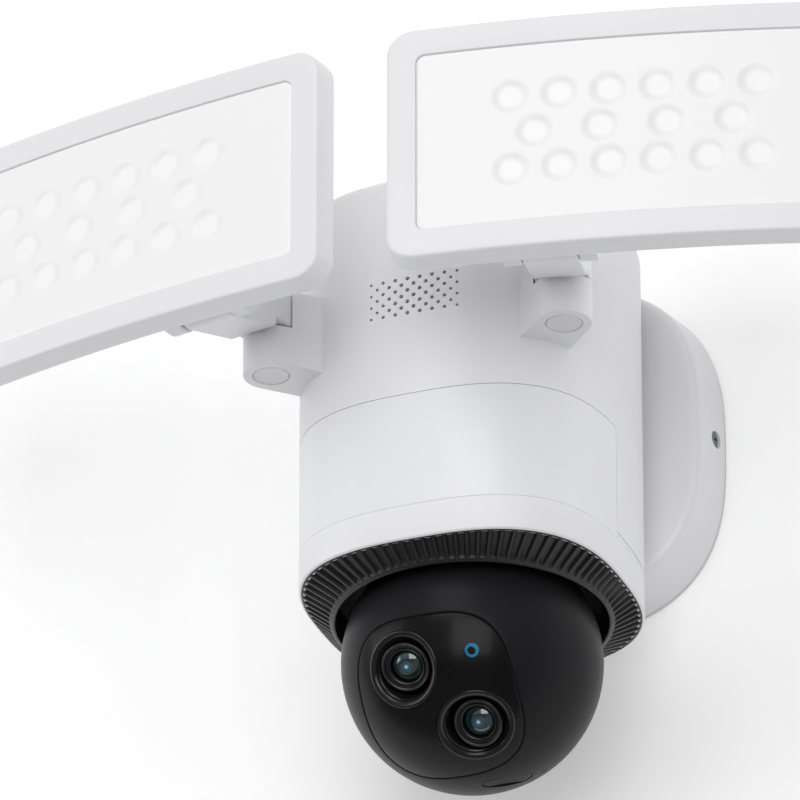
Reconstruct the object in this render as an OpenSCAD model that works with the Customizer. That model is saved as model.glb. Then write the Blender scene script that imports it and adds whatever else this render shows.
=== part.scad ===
// Wall-mounted floodlight security camera: housing column on a wall plate, a ball
// camera that pans and tilts below it, and two curved light panels on jointed arms.
// Origin: centre of the wall face. +Z up, -Y out of the wall, millimetres.

/* [Wall plate] */
// Width of the wall plate
plate_w = 138; // [126:0.2:165]
// Height of the wall plate
plate_h = 129.6; // [120:0.2:156]
// Depth of the wall plate from its rear rim to its front face
plate_depth = 19.5; // [16:0.5:24]
// How much the wall plate's side leans in towards its front
plate_taper = 2.5; // [0:0.1:3]
// Wall thickness of the plate
plate_wall = 2.4; // [1.8:0.1:3]
// Thickness of the rubber gasket on the wall
gasket_t = 2; // [1:0.5:3]

/* [Housing] */
// Width of the housing column
body_w = 110.6; // [104:0.2:120]
// Depth of the housing column before its back is cut flat
body_d = 112.4; // [106:0.2:122]
// Height of the housing column
body_h = 140; // [135:1:168]
// Wall thickness of the housing
wall = 2.6; // [2:0.1:3.2]
// Roundness exponent of the housing outline, 2 is an ellipse
body_n = 2.75; // [2.4:0.05:3.2]
// How far the bottom rim is below the plate's centre
rim_drop = 81; // [76:1:90]
// Depth of the housing's axis in front of the flat back of the housing
axis_to_back = 46.6; // [44:0.2:50]

/* [Sensor window] */
// Bottom of the sensor window above the rim
window_low = 12.5; // [10:0.5:14]
// Top of the sensor window above the rim
window_high = 54.8; // [48:0.2:60]
// Half angle that the window reaches round the front
window_half_angle = 82; // [60:1:85]
// Thickness of the window
window_t = 1.1; // [0.8:0.1:1.5]

/* [Speaker] */
// Height of the grille's centre above the rim
speaker_height = 92.4; // [88:0.2:100]
// Radius of the speaker cone's frame
speaker_r = 17; // [14:0.5:20]
// Columns of holes in the grille
grille_columns = 15; // [9:2:19]
// Distance between columns
grille_pitch_x = 2.22; // [2:0.02:2.6]
// Distance between the holes of one column
grille_pitch_z = 4.4; // [4:0.1:5]
// Radius of a grille hole
grille_hole_r = 0.75; // [0.5:0.05:0.9]

/* [Ball camera] */
// Radius of the ball
ball_r = 44.5; // [42:0.5:45]
// Height of the housing's rim above the ball's centre
ball_below_rim = 21.4; // [19:0.2:24]
// Radius of the hole in the ring that the ball hangs in
ring_hole_r = 46.4; // [46:0.1:48]
// How far the ring funnels down below the rim
ring_drop = 6; // [4:0.5:8]
// Grooves round the ring
ring_grooves = 90; // [60:2:100]
// Downward tilt of the face at rest
face_tilt = 41; // [32:0.5:45]
// Tilt travel each way from rest
tilt_travel = 50; // [40:1:50]
// Width of the face plate
face_w = 55.9; // [54:0.1:59]
// Height of the face plate
face_h = 57.7; // [55:0.1:61]
// Place of the face plate's middle sideways from the ball's axis
face_shift_u = -2.4; // [-3:0.1:0]
// Place of the face plate's middle above the ball's axis
face_shift_v = -1.2; // [-2:0.1:1]
// Radius of the face plate's dome
face_dome_r = 44.4; // [44:0.1:50]
// Outer radius of a lens bezel
bezel_r = 13.2; // [12.6:0.1:13.4]
// Cant of a bezel towards the dome's own slope
bezel_cant = 19; // [8:1:21]
// Sideways place of the wide lens, left of the face's centre
wide_lens_u = 10.6; // [10:0.1:11.5]
// Sideways place of the tele lens, right of the face's centre
tele_lens_u = 9.5; // [9:0.1:11]
// Height of the wide lens above the face's centre, and of the tele lens below it
lens_v = 11.4; // [11:0.1:12.5]

/* [Lights] */
// Width of a light panel along its chord
panel_w = 167.8; // [150:0.2:200]
// Height of a light panel
panel_h = 87.3; // [80:0.1:105]
// Thickness of a light panel
panel_t = 11; // [10:0.5:14]
// Bend radius of the panel's front
panel_bend_r = 685; // [500:5:900]
// Radius of the panel's corners
panel_corner = 9; // [6:0.5:12]
// Width of the frame round the diffuser
panel_rim = 10.2; // [8:0.2:13]
// Turn of each panel away from straight ahead
panel_yaw = 13; // [8:0.5:16]
// Sideways place of a panel's centre from the housing's axis
panel_x = 95.3; // [92:0.1:112]
// Place of a panel's front in front of the housing's axis
panel_y = 100.9; // [98:0.1:106]
// Height of a panel's centre above the plate's centre
panel_z = 35.8; // [33:0.1:48]
// Distance between the light chips of the outer rows
led_pitch = 16.6; // [14:0.1:18]
// Distance between the light chips of the middle row
led_middle_pitch = 22.3; // [20:0.1:25]
// Distance between rows of light chips
led_row_pitch = 13.9; // [12:0.1:16]

/* [Arms] */
// Distance of each swivel axis from the housing's axis, along the corner's diagonal
arm_reach = 74.8; // [72:0.2:80]
// Width of an arm
arm_w = 19.4; // [17:0.2:22]
// Height of the arm's bottom above the rim
arm_lift = 72.5; // [68:0.5:78]
// Height of the round seat that the knuckle swivels on
arm_seat_h = 15; // [12:0.5:16]
// Distance from the panel's back to its tilt axis
tilt_standoff = 7.5; // [7:0.5:10]
// Height of the tilt axis above the arm's bottom
tilt_lift = 11; // [10:0.5:14]
// Radius of the pins that the lights turn on
pin_r = 2.5; // [2:0.1:3]

/* [Hidden] */
$fn = 64;

// Clearances: a running fit, a snug fit within one body, and an open gap
run_fit = 0.04;
snug = 0.05;
gap = 0.4;
// A cut reaches this much past the face that it cuts
over = 1;

// Rows of light chips: how many, and which pitch each row has
led_rows = [
  [6, led_pitch, 1],
  [4, led_middle_pitch, 0],
  [6, led_pitch, -1]
];

plate_front = gasket_t + plate_depth;
plate_n = 2.9;
plate_edge = 2.8;
back_gap = 0.3;
axis_y = plate_front + back_gap + axis_to_back;
rim_z = -rim_drop;
top_z = rim_z + body_h;
body_top_edge = 4.5;
ball_z = rim_z - ball_below_rim;
outline_steps = 120;

cover_t = 2.6;
cover_y = plate_front + back_gap;
// Below the wall plate the housing keeps its full depth, under a shelf
shelf_z = -plate_h / 2 - 0.8;
collar_r = 22;
collar_flange_r = 32;
collar_bore_r = 15;
collar_screw_r = 27.5;
screw_r = 1.5;
screw_head_r = 2.8;
screw_head_h = 1.8;
screw_hole_r = screw_r + 0.1;

bracket_t = 2;
bracket_r = 56;
bracket_bore_r = 14;
bracket_slot_w = 5.2;
bracket_slot_l = 16;
bracket_slot_x = 70;
bracket_slot_z = 89;
side_screw_y = gasket_t + 6.5;
// Where the plate's side is at the depth of its screws
side_screw_x = plate_w / 2 - plate_taper * (side_screw_y - gasket_t) / (plate_depth - plate_edge);

carrier_t = 3;
carrier_z = ball_z + ball_r + 15;
boss_r = 4;
carrier_bosses = [[45, -8], [-45, -8], [36, 33], [-36, 33]];
carrier_r = 44;
bearing_r = 16;
bearing_bore_r = 10;
bearing_h = 6;
turntable_t = 2.8;
turntable_r = 34;
turntable_z = ball_z + ball_r + 2.4;

pan_module = 1;
pan_teeth = 60;
pan_pinion_teeth = 14;
pan_gear_t = 5;
pan_gear_z = turntable_z + turntable_t;
pan_centres = pan_module * (pan_teeth + pan_pinion_teeth) / 2;
pan_motor_angle = 145;
pan_motor_r = 13;
pan_motor_h = 19;

post_r = 5;
post_bore_r = 3;
hub_r = 7;
hub_half = 8;
shaft_r = 3;
tilt_module = 0.8;
tilt_teeth = 30;
tilt_pinion_teeth = 14;
tilt_centres = tilt_module * (tilt_teeth + tilt_pinion_teeth) / 2;
tilt_gear_t = 3;
tilt_pinion_angle = -60;
tilt_motor_r = 7.5;
tilt_motor_l = 14;

shell_t = 2.2;
face_gap = 0.25;
face_t = 2;
face_sink = 0.1;
face_front = ball_r - face_sink;
// Distance of the face's dome in front of the ball's centre, off from its middle
function dome_depth(off) =
  face_front - face_dome_r + sqrt(pow(face_dome_r, 2) - pow(off, 2));
face_n = 2.9;
slot_half_w = post_r + 2.3;
slot_spread = tilt_travel + 9;
lens_places = [[-wide_lens_u, lens_v], [tele_lens_u, -lens_v]];
status_place = [14.1, 13.9];
status_r = 2.4;
status_bore_r = 1.4;
// A bezel's rim lies on the dome all round, so its centre is a little deeper
lens_front = dome_depth(norm([wide_lens_u, lens_v]))
  - (face_dome_r - sqrt(pow(face_dome_r, 2) - pow(bezel_r, 2)));
bezel_depth = 5;
glass_sink = 3;
barrel_r = 8.5;
glass_r = 5.5;
chassis_front = 17;
chassis_t = 3;
face_back = chassis_front + chassis_t + 4;

arm_bottom = rim_z + arm_lift;
arm_xy = arm_reach / sqrt(2);
seat_top = arm_bottom + arm_seat_h;
plug_r = 6.2;
plug_t = 2;
knuckle_h = 13;
neck_w = 19;
neck_root = arm_w / 2 + 0.7;
seat_wall_r = neck_w / 2 + 0.7;
seat_wall_h = 14;
tilt_z = arm_bottom + tilt_lift;
barrel_pin_r = 6.5;
ear_t = 6.5;
ear_r = tilt_standoff - 0.6;
ear_gap = 0.3;
ear_root = 1;
foot_h = 14;
foot_t = 3;
foot_rise = ear_r + 1.5;
wire_hole_r = 3;
panel_wall = 2.2;
diffuser_t = 1.6;
diffuser_sink = 0.6;
led_board_t = 1.2;
led_board_y = panel_t - panel_wall - led_board_t - 0.4;
led_size = 3.4;
led_t = 0.9;

// The swivel axis, in a panel's own frame
swivel_dx = arm_xy - panel_x;
swivel_dy = panel_y - arm_xy;
swivel_u = swivel_dx * cos(panel_yaw) + swivel_dy * sin(panel_yaw);
swivel_v = swivel_dy * cos(panel_yaw) - swivel_dx * sin(panel_yaw);
// The panel's back face where the bracket sits
back_v = panel_t + swivel_u * swivel_u / (2 * panel_bend_r);
tilt_v = back_v + tilt_standoff;

// ---- shared shapes ----

// Distance from the centre of a rounded square to its edge, at angle a
function rounded_radius(w, d, n, a) =
  1 / pow(pow(abs(cos(a)) * 2 / w, n) + pow(abs(sin(a)) * 2 / d, n), 1 / n);

module rounded_square(w, d, n) {
  polygon([for (i = [0 : outline_steps - 1])
    let (a = 360 * i / outline_steps, r = rounded_radius(w, d, n, a))
    [r * cos(a), r * sin(a)]]);
}

module body_outline(inset) {
  rounded_square(body_w - 2 * inset, body_d - 2 * inset, body_n);
}

module at_axis() {
  translate([0, -axis_y, 0]) children();
}

module at_ball() {
  translate([0, -axis_y, ball_z]) children();
}

// The face's own frame: X to the right, Z up the face, -Y out of it
module at_face() {
  at_ball() rotate([face_tilt, 0, 0]) children();
}

// A cylinder out of the wall, from depth y0 to depth y1 in front of it
module out_cylinder(r, y0, y1) {
  translate([0, -y0, 0]) rotate([90, 0, 0]) cylinder(r = r, h = y1 - y0);
}

// A cylinder along X from x0 to x1
module x_cylinder(r, x0, x1) {
  translate([x0, 0, 0]) rotate([0, 90, 0]) cylinder(r = r, h = x1 - x0);
}

// Right-hand parts as drawn, left-hand parts mirrored
module on_side(side) {
  mirror([side == "left" ? 1 : 0, 0, 0]) children();
}

module at_panel() {
  translate([panel_x, -axis_y - panel_y, panel_z]) rotate([0, 0, panel_yaw]) children();
}

module at_swivel() {
  translate([arm_xy, -axis_y - arm_xy, 0]) children();
}

// One flank point of an involute tooth that starts on base radius rb
function involute_point(rb, r, turn) =
  let (t = sqrt(max(pow(r / rb, 2) - 1, 0)) * 180 / PI, a = t - atan(t * PI / 180) + turn)
  [r * cos(a), r * sin(a)];

// Spur gear outline with some backlash
module gear_outline(m, teeth) {
  backlash = 0.12 * m;
  pitch_r = m * teeth / 2;
  base_r = pitch_r * cos(20);
  root_r = pitch_r - 1.2 * m;
  tip_r = pitch_r + 0.9 * m;
  start_r = max(base_r, root_r);
  // Half of a tooth's angle at its base
  half = 90 / teeth - backlash / pitch_r * 90 / PI + (tan(20) * 180 / PI - 20);
  steps = 4;
  flank = [for (i = [0 : steps])
    involute_point(base_r, start_r + (tip_r - start_r) * i / steps, -half)];
  tooth = concat(
    [[root_r * cos(half), -root_r * sin(half)]],
    flank,
    [for (i = [steps : -1 : 0]) [flank[i][0], -flank[i][1]]],
    [[root_r * cos(half), root_r * sin(half)]]);
  polygon([for (k = [0 : teeth - 1], p = tooth)
    let (a = 360 * k / teeth)
    [p[0] * cos(a) - p[1] * sin(a), p[0] * sin(a) + p[1] * cos(a)]]);
}

module gear(m, teeth, t) {
  linear_extrude(height = t) gear_outline(m, teeth);
}

// ---- wall plate and what holds it ----

module plate_solid(inset, y0, y1, edge) {
  w = plate_w - 2 * inset;
  h = plate_h - 2 * inset;
  front_w = w - 2 * plate_taper;
  front_h = h - 2 * plate_taper;
  translate([0, -y0, 0]) rotate([90, 0, 0]) {
    linear_extrude(height = y1 - y0 - edge, scale = [front_w / w, front_h / h], slices = 1)
      rounded_square(w, h, plate_n);
    translate([0, 0, y1 - y0 - edge])
      linear_extrude(height = edge, scale = [1 - 2 * edge / front_w, 1 - 2 * edge / front_h], slices = 1)
        scale([front_w / w, front_h / h]) rounded_square(w, h, plate_n);
  }
}

module collar_screw_places() {
  for (a = [45 : 90 : 315])
    translate([collar_screw_r * cos(a), 0, collar_screw_r * sin(a)]) children();
}

module wall_plate() {
  color("whitesmoke") difference() {
    plate_solid(0, gasket_t, plate_front, plate_edge);
    plate_solid(plate_wall, gasket_t - over, plate_front - plate_wall, plate_edge);
    out_cylinder(collar_r + snug, 0, plate_front + over);
    collar_screw_places() out_cylinder(screw_hole_r, 0, plate_front + over);
    for (side = [-1, 1])
      translate([0, -side_screw_y, 0]) {
        x_cylinder(screw_hole_r, side > 0 ? 0 : -plate_w, side > 0 ? plate_w : 0);
        x_cylinder(screw_head_r + 0.2, side > 0 ? side_screw_x - 1.2 : -plate_w,
                   side > 0 ? plate_w : -side_screw_x + 1.2);
      }
  }
}

module wall_gasket() {
  rim = plate_wall + 0.6;
  color("gainsboro") translate([0, -gasket_t, 0]) rotate([-90, 0, 0])
    linear_extrude(height = gasket_t) difference() {
      rounded_square(plate_w - 0.8, plate_h - 0.8, plate_n);
      rounded_square(plate_w - 0.8 - 2 * rim, plate_h - 0.8 - 2 * rim, plate_n);
    }
}

tab_out = plate_w / 2 - plate_wall - plate_taper - gap;
tab_t = 3;
bar_w = 14;

module slot_cut(l, w) {
  for (x = [-(l - w) / 2, (l - w) / 2]) translate([x, 0, 0]) out_cylinder(w / 2, -over, 4);
  translate([-(l - w) / 2, -4, -w / 2]) cube([l - w, 4 + over, w]);
}

module mounting_bracket() {
  color("silver") difference() {
    union() {
      out_cylinder(bracket_r, 0, bracket_t);
      translate([-tab_out, -bracket_t, -bar_w / 2]) cube([2 * tab_out, bracket_t, bar_w]);
      for (side = [-1, 1])
        translate([side > 0 ? tab_out - tab_t : -tab_out, -side_screw_y - 5, -bar_w / 2])
          cube([tab_t, side_screw_y + 5, bar_w]);
    }
    out_cylinder(bracket_bore_r, -over, bracket_t + over);
    for (side = [-1, 1]) {
      translate([side * bracket_slot_x / 2, 0, 0]) slot_cut(bracket_slot_l, bracket_slot_w);
      translate([0, 0, side * bracket_slot_z / 2]) rotate([0, 90, 0]) slot_cut(bracket_slot_l, bracket_slot_w);
    }
    translate([0, -side_screw_y, 0]) x_cylinder(screw_r + snug, -plate_w, plate_w);
  }
}

module side_screws() {
  color("dimgray") for (side = [0, 1])
    mirror([side, 0, 0]) translate([0, -side_screw_y, 0]) difference() {
      union() {
        x_cylinder(screw_r, tab_out - tab_t - 1, side_screw_x - 1);
        x_cylinder(screw_head_r, side_screw_x - 1.2, side_screw_x - 0.2);
      }
      for (turn = [0, 90]) rotate([turn, 0, 0])
        translate([side_screw_x - 0.9, -2, -0.35]) cube([over, 4, 0.7]);
    }
}

module terminal_block() {
  color("ivory") translate([-12, -bracket_t - 10, -36]) difference() {
    cube([24, 10, 12]);
    for (x = [4, 12, 20]) {
      translate([x, 5, -over]) cylinder(r = 1.6, h = 12 + 2 * over);
      translate([x, 5, 6]) rotate([90, 0, 0]) cylinder(r = 1.4, h = 6);
    }
  }
}

module mount_collar() {
  y0 = plate_front - plate_wall - 3;
  color("darkgray") difference() {
    union() {
      out_cylinder(collar_flange_r, y0, plate_front - plate_wall);
      out_cylinder(collar_r, y0, cover_y + cover_t + 4);
    }
    out_cylinder(collar_bore_r, 0, cover_y + cover_t + 10);
    collar_screw_places() out_cylinder(screw_hole_r, 0, plate_front);
  }
}

cover_screw_x = 27;
cover_screw_low = shelf_z + 8;
cover_screw_high = top_z - 14;

module cover_screw_places() {
  for (x = [-cover_screw_x, cover_screw_x], z = [cover_screw_low, cover_screw_high])
    translate([x, 0, z]) children();
}

module housing_screws() {
  color("silver") {
    collar_screw_places() {
      out_cylinder(screw_r, plate_front - plate_wall - 3, cover_y + cover_t + 5);
      out_cylinder(screw_head_r, plate_front - plate_wall - 3 - screw_head_h,
                   plate_front - plate_wall - 3);
    }
    cover_screw_places() {
      out_cylinder(screw_r, cover_y + 1, cover_y + cover_t + 7);
      out_cylinder(screw_head_r, cover_y + 0.2, cover_y + 1.6);
    }
  }
}

// ---- housing ----

module body_prism(inset, z0, z1) {
  at_axis() translate([0, 0, z0]) linear_extrude(height = z1 - z0) body_outline(inset);
}

module front_of(y) {
  translate([-body_w, -axis_y - body_d, rim_z - ball_r])
    cube([2 * body_w, axis_y + body_d - y, body_h + 2 * ball_r]);
}

// A slice of the round column, half_angle each way from straight ahead
module front_wedge(half_angle, z0, z1) {
  reach = body_w + body_d;
  at_axis() translate([0, 0, z0]) linear_extrude(height = z1 - z0)
    polygon([[0, 0], [-reach * sin(half_angle), -reach * cos(half_angle)],
             [-reach, -reach * 1.2], [reach, -reach * 1.2],
             [reach * sin(half_angle), -reach * cos(half_angle)]]);
}

module grille_holes() {
  half = (grille_columns - 1) / 2;
  for (i = [-half : half]) {
    count = (i + half) % 2 == 0 ? 4 : 3;
    for (k = [0 : count - 1])
      translate([i * grille_pitch_x, 0, rim_z + speaker_height + (k - (count - 1) / 2) * grille_pitch_z])
        out_cylinder(grille_hole_r * (1 - 0.3 * pow(abs(i) / half, 2)), axis_y, axis_y + body_d);
  }
}

motion_sensor_angles = [-48, 0, 48];
motion_sensor_z = rim_z + (window_low + window_high) / 2;
sensor_can_r = 4.2;
sensor_inset = wall + 6.5;

// On the face of the sensor board, pointing out through the housing
module at_motion_sensor(a) {
  r = rounded_radius(body_w - 2 * sensor_inset, body_d - 2 * sensor_inset, body_n, 270 + a);
  at_axis() rotate([0, 0, a]) translate([0, -r, motion_sensor_z]) children();
}

module housing() {
  color("whitesmoke") difference() {
    union() {
      difference() {
        intersection() {
          union() {
            body_prism(0, rim_z, top_z - body_top_edge);
            at_axis() translate([0, 0, top_z - body_top_edge])
              linear_extrude(height = body_top_edge, scale = 1 - 2 * body_top_edge / body_w)
                body_outline(0);
          }
          union() {
            front_of(cover_y);
            body_prism(-over, rim_z, shelf_z);
          }
        }
        body_prism(wall, rim_z - over, shelf_z - wall);
        intersection() {
          body_prism(wall, rim_z, top_z - body_top_edge);
          front_of(cover_y - over);
        }
      }
      // Columns for the rear cover's screws, tied to the side walls
      intersection() {
        body_prism(wall / 2, rim_z + 2, top_z - wall);
        union() for (side = [-1, 1], z = [cover_screw_low, cover_screw_high])
          translate([side * cover_screw_x, 0, z]) {
            out_cylinder(boss_r, cover_y + cover_t + snug, cover_y + cover_t + 10);
            translate([side > 0 ? 0 : -body_w / 2, -cover_y - cover_t - 10, -1.5])
              cube([body_w / 2, 10 - snug, 3]);
          }
      }
      // Columns that the bearing carrier stands on
      intersection() {
        body_prism(wall / 2, carrier_z - 14, carrier_z);
        at_axis() for (p = carrier_bosses)
          translate([p[0], p[1], carrier_z - 14]) {
            cylinder(r = boss_r, h = 14);
            rotate([0, 0, atan2(p[1], p[0])]) translate([0, -1.5, 0]) cube([30, 3, 14]);
          }
      }
    }
    // Seat of the sensor window, and the openings behind it
    intersection() {
      difference() {
        body_prism(-over, rim_z + window_low - snug, rim_z + window_high + snug);
        body_prism(window_t + snug, rim_z, top_z);
      }
      front_wedge(window_half_angle + 0.1, rim_z, top_z);
    }
    for (a = motion_sensor_angles)
      at_motion_sensor(a) rotate([90, 0, 0]) cylinder(r = 7, h = 2 * sensor_inset);
    grille_holes();
    cover_screw_places() out_cylinder(screw_hole_r, cover_y, cover_y + cover_t + 8);
    at_axis() for (p = carrier_bosses)
      translate([p[0], p[1], carrier_z - 10]) cylinder(r = screw_r, h = 12);
  }
}

module rear_cover() {
  color("whitesmoke") difference() {
    union() {
      intersection() {
        body_prism(wall + 0.2, shelf_z + 0.2, top_z - body_top_edge - 0.2);
        translate([-body_w, -cover_y - cover_t, rim_z]) cube([2 * body_w, cover_t, body_h]);
      }
      collar_screw_places() out_cylinder(boss_r, cover_y + cover_t - 0.2, cover_y + cover_t + 6);
    }
    out_cylinder(collar_r + snug, 0, cover_y + cover_t + over);
    collar_screw_places() out_cylinder(screw_r + snug, 0, cover_y + cover_t + 5.5);
    cover_screw_places() {
      out_cylinder(screw_hole_r, 0, cover_y + 2 * cover_t);
      out_cylinder(screw_head_r + 0.2, 0, cover_y + 1.6);
    }
  }
}

module sensor_window() {
  color("white") intersection() {
    difference() {
      body_prism(0, rim_z + window_low, rim_z + window_high);
      body_prism(window_t, rim_z, top_z);
    }
    front_wedge(window_half_angle, rim_z, top_z);
  }
}

module sensor_board() {
  color("seagreen") intersection() {
    difference() {
      body_prism(sensor_inset, motion_sensor_z - 9, motion_sensor_z + 9);
      body_prism(sensor_inset + 1.2, rim_z, top_z);
    }
    front_wedge(58, rim_z, top_z);
  }
}

module motion_sensors() {
  color("silver") for (a = motion_sensor_angles)
    at_motion_sensor(a) rotate([90, 0, 0]) translate([0, 0, 0.4]) cylinder(r = sensor_can_r, h = 4);
}

speaker_z = rim_z + speaker_height;
// The speaker's rim meets the curved inside of the housing
speaker_front = axis_y - 0.8
  + (body_d / 2 - wall) * pow(1 - pow(speaker_r / (body_w / 2 - wall), body_n), 1 / body_n);

module speaker() {
  color("dimgray") translate([0, 0, speaker_z]) {
    difference() {
      out_cylinder(speaker_r, speaker_front - 5, speaker_front);
      translate([0, -speaker_front + 4, 0]) rotate([90, 0, 0])
        cylinder(r1 = 5, r2 = speaker_r - 2, h = 4 + over);
    }
    out_cylinder(speaker_r - 4, speaker_front - 14, speaker_front - 5);
  }
}

module grille_mesh() {
  color("black") translate([0, 0, speaker_z]) out_cylinder(speaker_r, speaker_front + 0.1, speaker_front + 0.6);
}

module main_board() {
  color("seagreen") translate([-35, -axis_y + 8, top_z - 62]) difference() {
    union() {
      cube([70, 1.6, 52]);
      translate([12, -4, 24]) cube([16, 4, 16]);
      translate([38, -3, 12]) cube([22, 3, 12]);
    }
    for (x = [4, 66], z = [4, 48])
      translate([x, 3, z]) rotate([90, 0, 0]) cylinder(r = 1.7, h = 8);
  }
}

module power_board() {
  color("darkgreen") translate([-30, -axis_y + 26, top_z - 72]) {
    cube([60, 1.6, 52]);
    translate([8, -13, 8]) cube([20, 13, 18]);
    translate([42, 0, 12]) rotate([90, 0, 0]) cylinder(r = 6, h = 13);
    translate([42, 0, 38]) rotate([90, 0, 0]) cylinder(r = 4, h = 12);
  }
}

module antennas() {
  color("gold") for (side = [-1, 1])
    translate([side * 43 - 0.5, -axis_y - 14, top_z - 48]) cube([1, 12, 36]);
}

// ---- arms of the lights ----

// Outline of an arm in plan: out along the corner's diagonal, with a round end
module arm_outline() {
  steps = 24;
  r = arm_w / 2;
  inner_end = arm_reach - 30;
  rotate([0, 0, 135]) polygon(concat(
    [for (i = [0 : steps]) let (a = 90 + 180 * i / steps) [r * cos(a), r * sin(a)]],
    [[inner_end, -r], [inner_end, r]]));
}

module arm_body() {
  difference() {
    union() {
      at_swivel() translate([0, 0, arm_bottom]) linear_extrude(height = arm_seat_h) arm_outline();
      at_swivel() translate([0, 0, seat_top - over]) linear_extrude(height = seat_wall_h + over)
        difference() {
          arm_outline();
          circle(r = seat_wall_r, $fn = 72);
          rotate([0, 0, -45]) translate([-4, -arm_w]) square([2 * arm_w, 2 * arm_w]);
        }
    }
    body_prism(-0.02, rim_z, top_z + over);
    at_swivel() {
      translate([0, 0, arm_bottom - over]) cylinder(r = plug_r + snug, h = plug_t + over);
      translate([0, 0, arm_bottom]) cylinder(r = pin_r + 1 + run_fit, h = arm_seat_h + over);
      translate([0, 0, arm_bottom + plug_t]) cylinder(r = pin_r + 2.4, h = 2.6);
    }
  }
}

module arm_plug() {
  at_swivel() translate([0, 0, arm_bottom + 0.1]) cylinder(r = plug_r, h = plug_t - 0.2);
}

module left_arm() {
  color("whitesmoke") on_side("left") arm_body();
}

module right_arm() {
  color("whitesmoke") on_side("right") arm_body();
}

module left_arm_plug() {
  color("gainsboro") on_side("left") arm_plug();
}

module right_arm_plug() {
  color("gainsboro") on_side("right") arm_plug();
}

// ---- ring and pan drive ----

module camera_ring() {
  lip = 1.3;
  skin = 2;
  rim_inset = 0.8;
  spigot_h = 5;
  color("black") at_axis() difference() {
    union() {
      hull() {
        translate([0, 0, rim_z - 0.1]) linear_extrude(height = 0.1) body_outline(rim_inset);
        translate([0, 0, rim_z - ring_drop]) cylinder(r = ring_hole_r + lip, h = 0.5);
      }
      translate([0, 0, rim_z - 0.1]) linear_extrude(height = spigot_h) body_outline(wall + 0.1);
    }
    translate([0, 0, rim_z - ring_drop - over])
      cylinder(r = ring_hole_r, h = ring_drop + spigot_h + 2 * over);
    difference() {
      translate([0, 0, rim_z + skin]) linear_extrude(height = spigot_h) body_outline(wall + skin);
      translate([0, 0, rim_z]) cylinder(r = ring_hole_r + lip, h = spigot_h);
    }
    for (i = [0 : ring_grooves - 1]) {
      a = 360 * i / ring_grooves;
      outer = rounded_radius(body_w - 2 * rim_inset, body_d - 2 * rim_inset, body_n, a);
      inner = ring_hole_r + lip;
      slope = atan(ring_drop / (outer - inner));
      rotate([0, 0, a]) translate([inner, 0, rim_z - ring_drop]) rotate([0, -slope, 0])
        translate([1, -0.5, -over + 0.1])
          cube([(outer - inner) / cos(slope) - 2.4, 1, over + 0.5]);
    }
  }
}

module bearing_carrier() {
  color("dimgray") difference() {
    at_axis() {
      translate([0, 0, carrier_z]) cylinder(r = carrier_r, h = carrier_t);
      translate([0, 0, carrier_z - bearing_h + carrier_t - 0.5])
        cylinder(r = bearing_r + 3, h = bearing_h);
      for (p = carrier_bosses) translate([p[0], p[1], carrier_z]) {
        cylinder(r = boss_r + 1.5, h = carrier_t);
        rotate([0, 0, atan2(p[1], p[0])]) translate([-10, -boss_r, 0]) cube([10, 2 * boss_r, carrier_t]);
      }
    }
    at_axis() {
      translate([0, 0, carrier_z - bearing_h])
        cylinder(r = bearing_r + snug, h = bearing_h + carrier_t - 1);
      translate([0, 0, carrier_z - bearing_h]) cylinder(r = bearing_r - 2, h = 2 * bearing_h);
      for (p = carrier_bosses)
        translate([p[0], p[1], carrier_z - over]) cylinder(r = screw_hole_r, h = carrier_t + 2 * over);
    }
    at_pan_pinion() translate([0, 0, carrier_z - over]) cylinder(r = 3, h = carrier_t + 2 * over);
  }
}

module pan_bearing() {
  color("lightgray") at_axis() translate([0, 0, carrier_z + carrier_t - 1 - bearing_h])
    difference() {
      cylinder(r = bearing_r, h = bearing_h);
      translate([0, 0, -over]) cylinder(r = bearing_bore_r, h = bearing_h + 2 * over);
      for (z = [-over, bearing_h - 0.6])
        translate([0, 0, z]) difference() {
          cylinder(r = bearing_r - 1.6, h = over + 0.6);
          cylinder(r = bearing_bore_r + 1.6, h = over + 0.6);
        }
    }
}

module at_pan_pinion() {
  at_axis() translate([pan_centres * cos(pan_motor_angle), pan_centres * sin(pan_motor_angle), 0])
    children();
}

pan_shaft_offset = 7;

module pan_motor() {
  color("silver") at_axis()
    translate([(pan_centres - pan_shaft_offset) * cos(pan_motor_angle),
               (pan_centres - pan_shaft_offset) * sin(pan_motor_angle),
               carrier_z + carrier_t + 0.05])
      difference() {
        cylinder(r = pan_motor_r, h = pan_motor_h);
        rotate([0, 0, pan_motor_angle]) translate([pan_shaft_offset, 0, -over])
          cylinder(r = 1.5 + run_fit, h = 9 + over);
      }
}

module pan_pinion() {
  // The pinion is turned so that a gap of it meets a tooth of the gear
  tooth = 180 / pan_pinion_teeth;
  phase = 180 + pan_motor_angle + tooth
    + (pan_motor_angle * pan_teeth / pan_pinion_teeth);
  color("ivory") at_pan_pinion() {
    translate([0, 0, pan_gear_z + 0.1]) rotate([0, 0, phase])
      gear(pan_module, pan_pinion_teeth, pan_gear_t - 0.2);
    translate([0, 0, pan_gear_z + 0.1]) cylinder(r = 1.5, h = carrier_z + carrier_t - pan_gear_z + 8);
  }
}

module turntable() {
  hub_top = carrier_z + carrier_t;
  color("dimgray") at_axis() difference() {
    union() {
      translate([0, 0, turntable_z]) cylinder(r = turntable_r, h = turntable_t);
      translate([0, 0, turntable_z]) cylinder(r = bearing_bore_r - run_fit, h = hub_top - turntable_z);
    }
    translate([0, 0, turntable_z - over])
      cylinder(r = post_r + snug, h = hub_top - turntable_z + 2 * over);
  }
}

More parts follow.
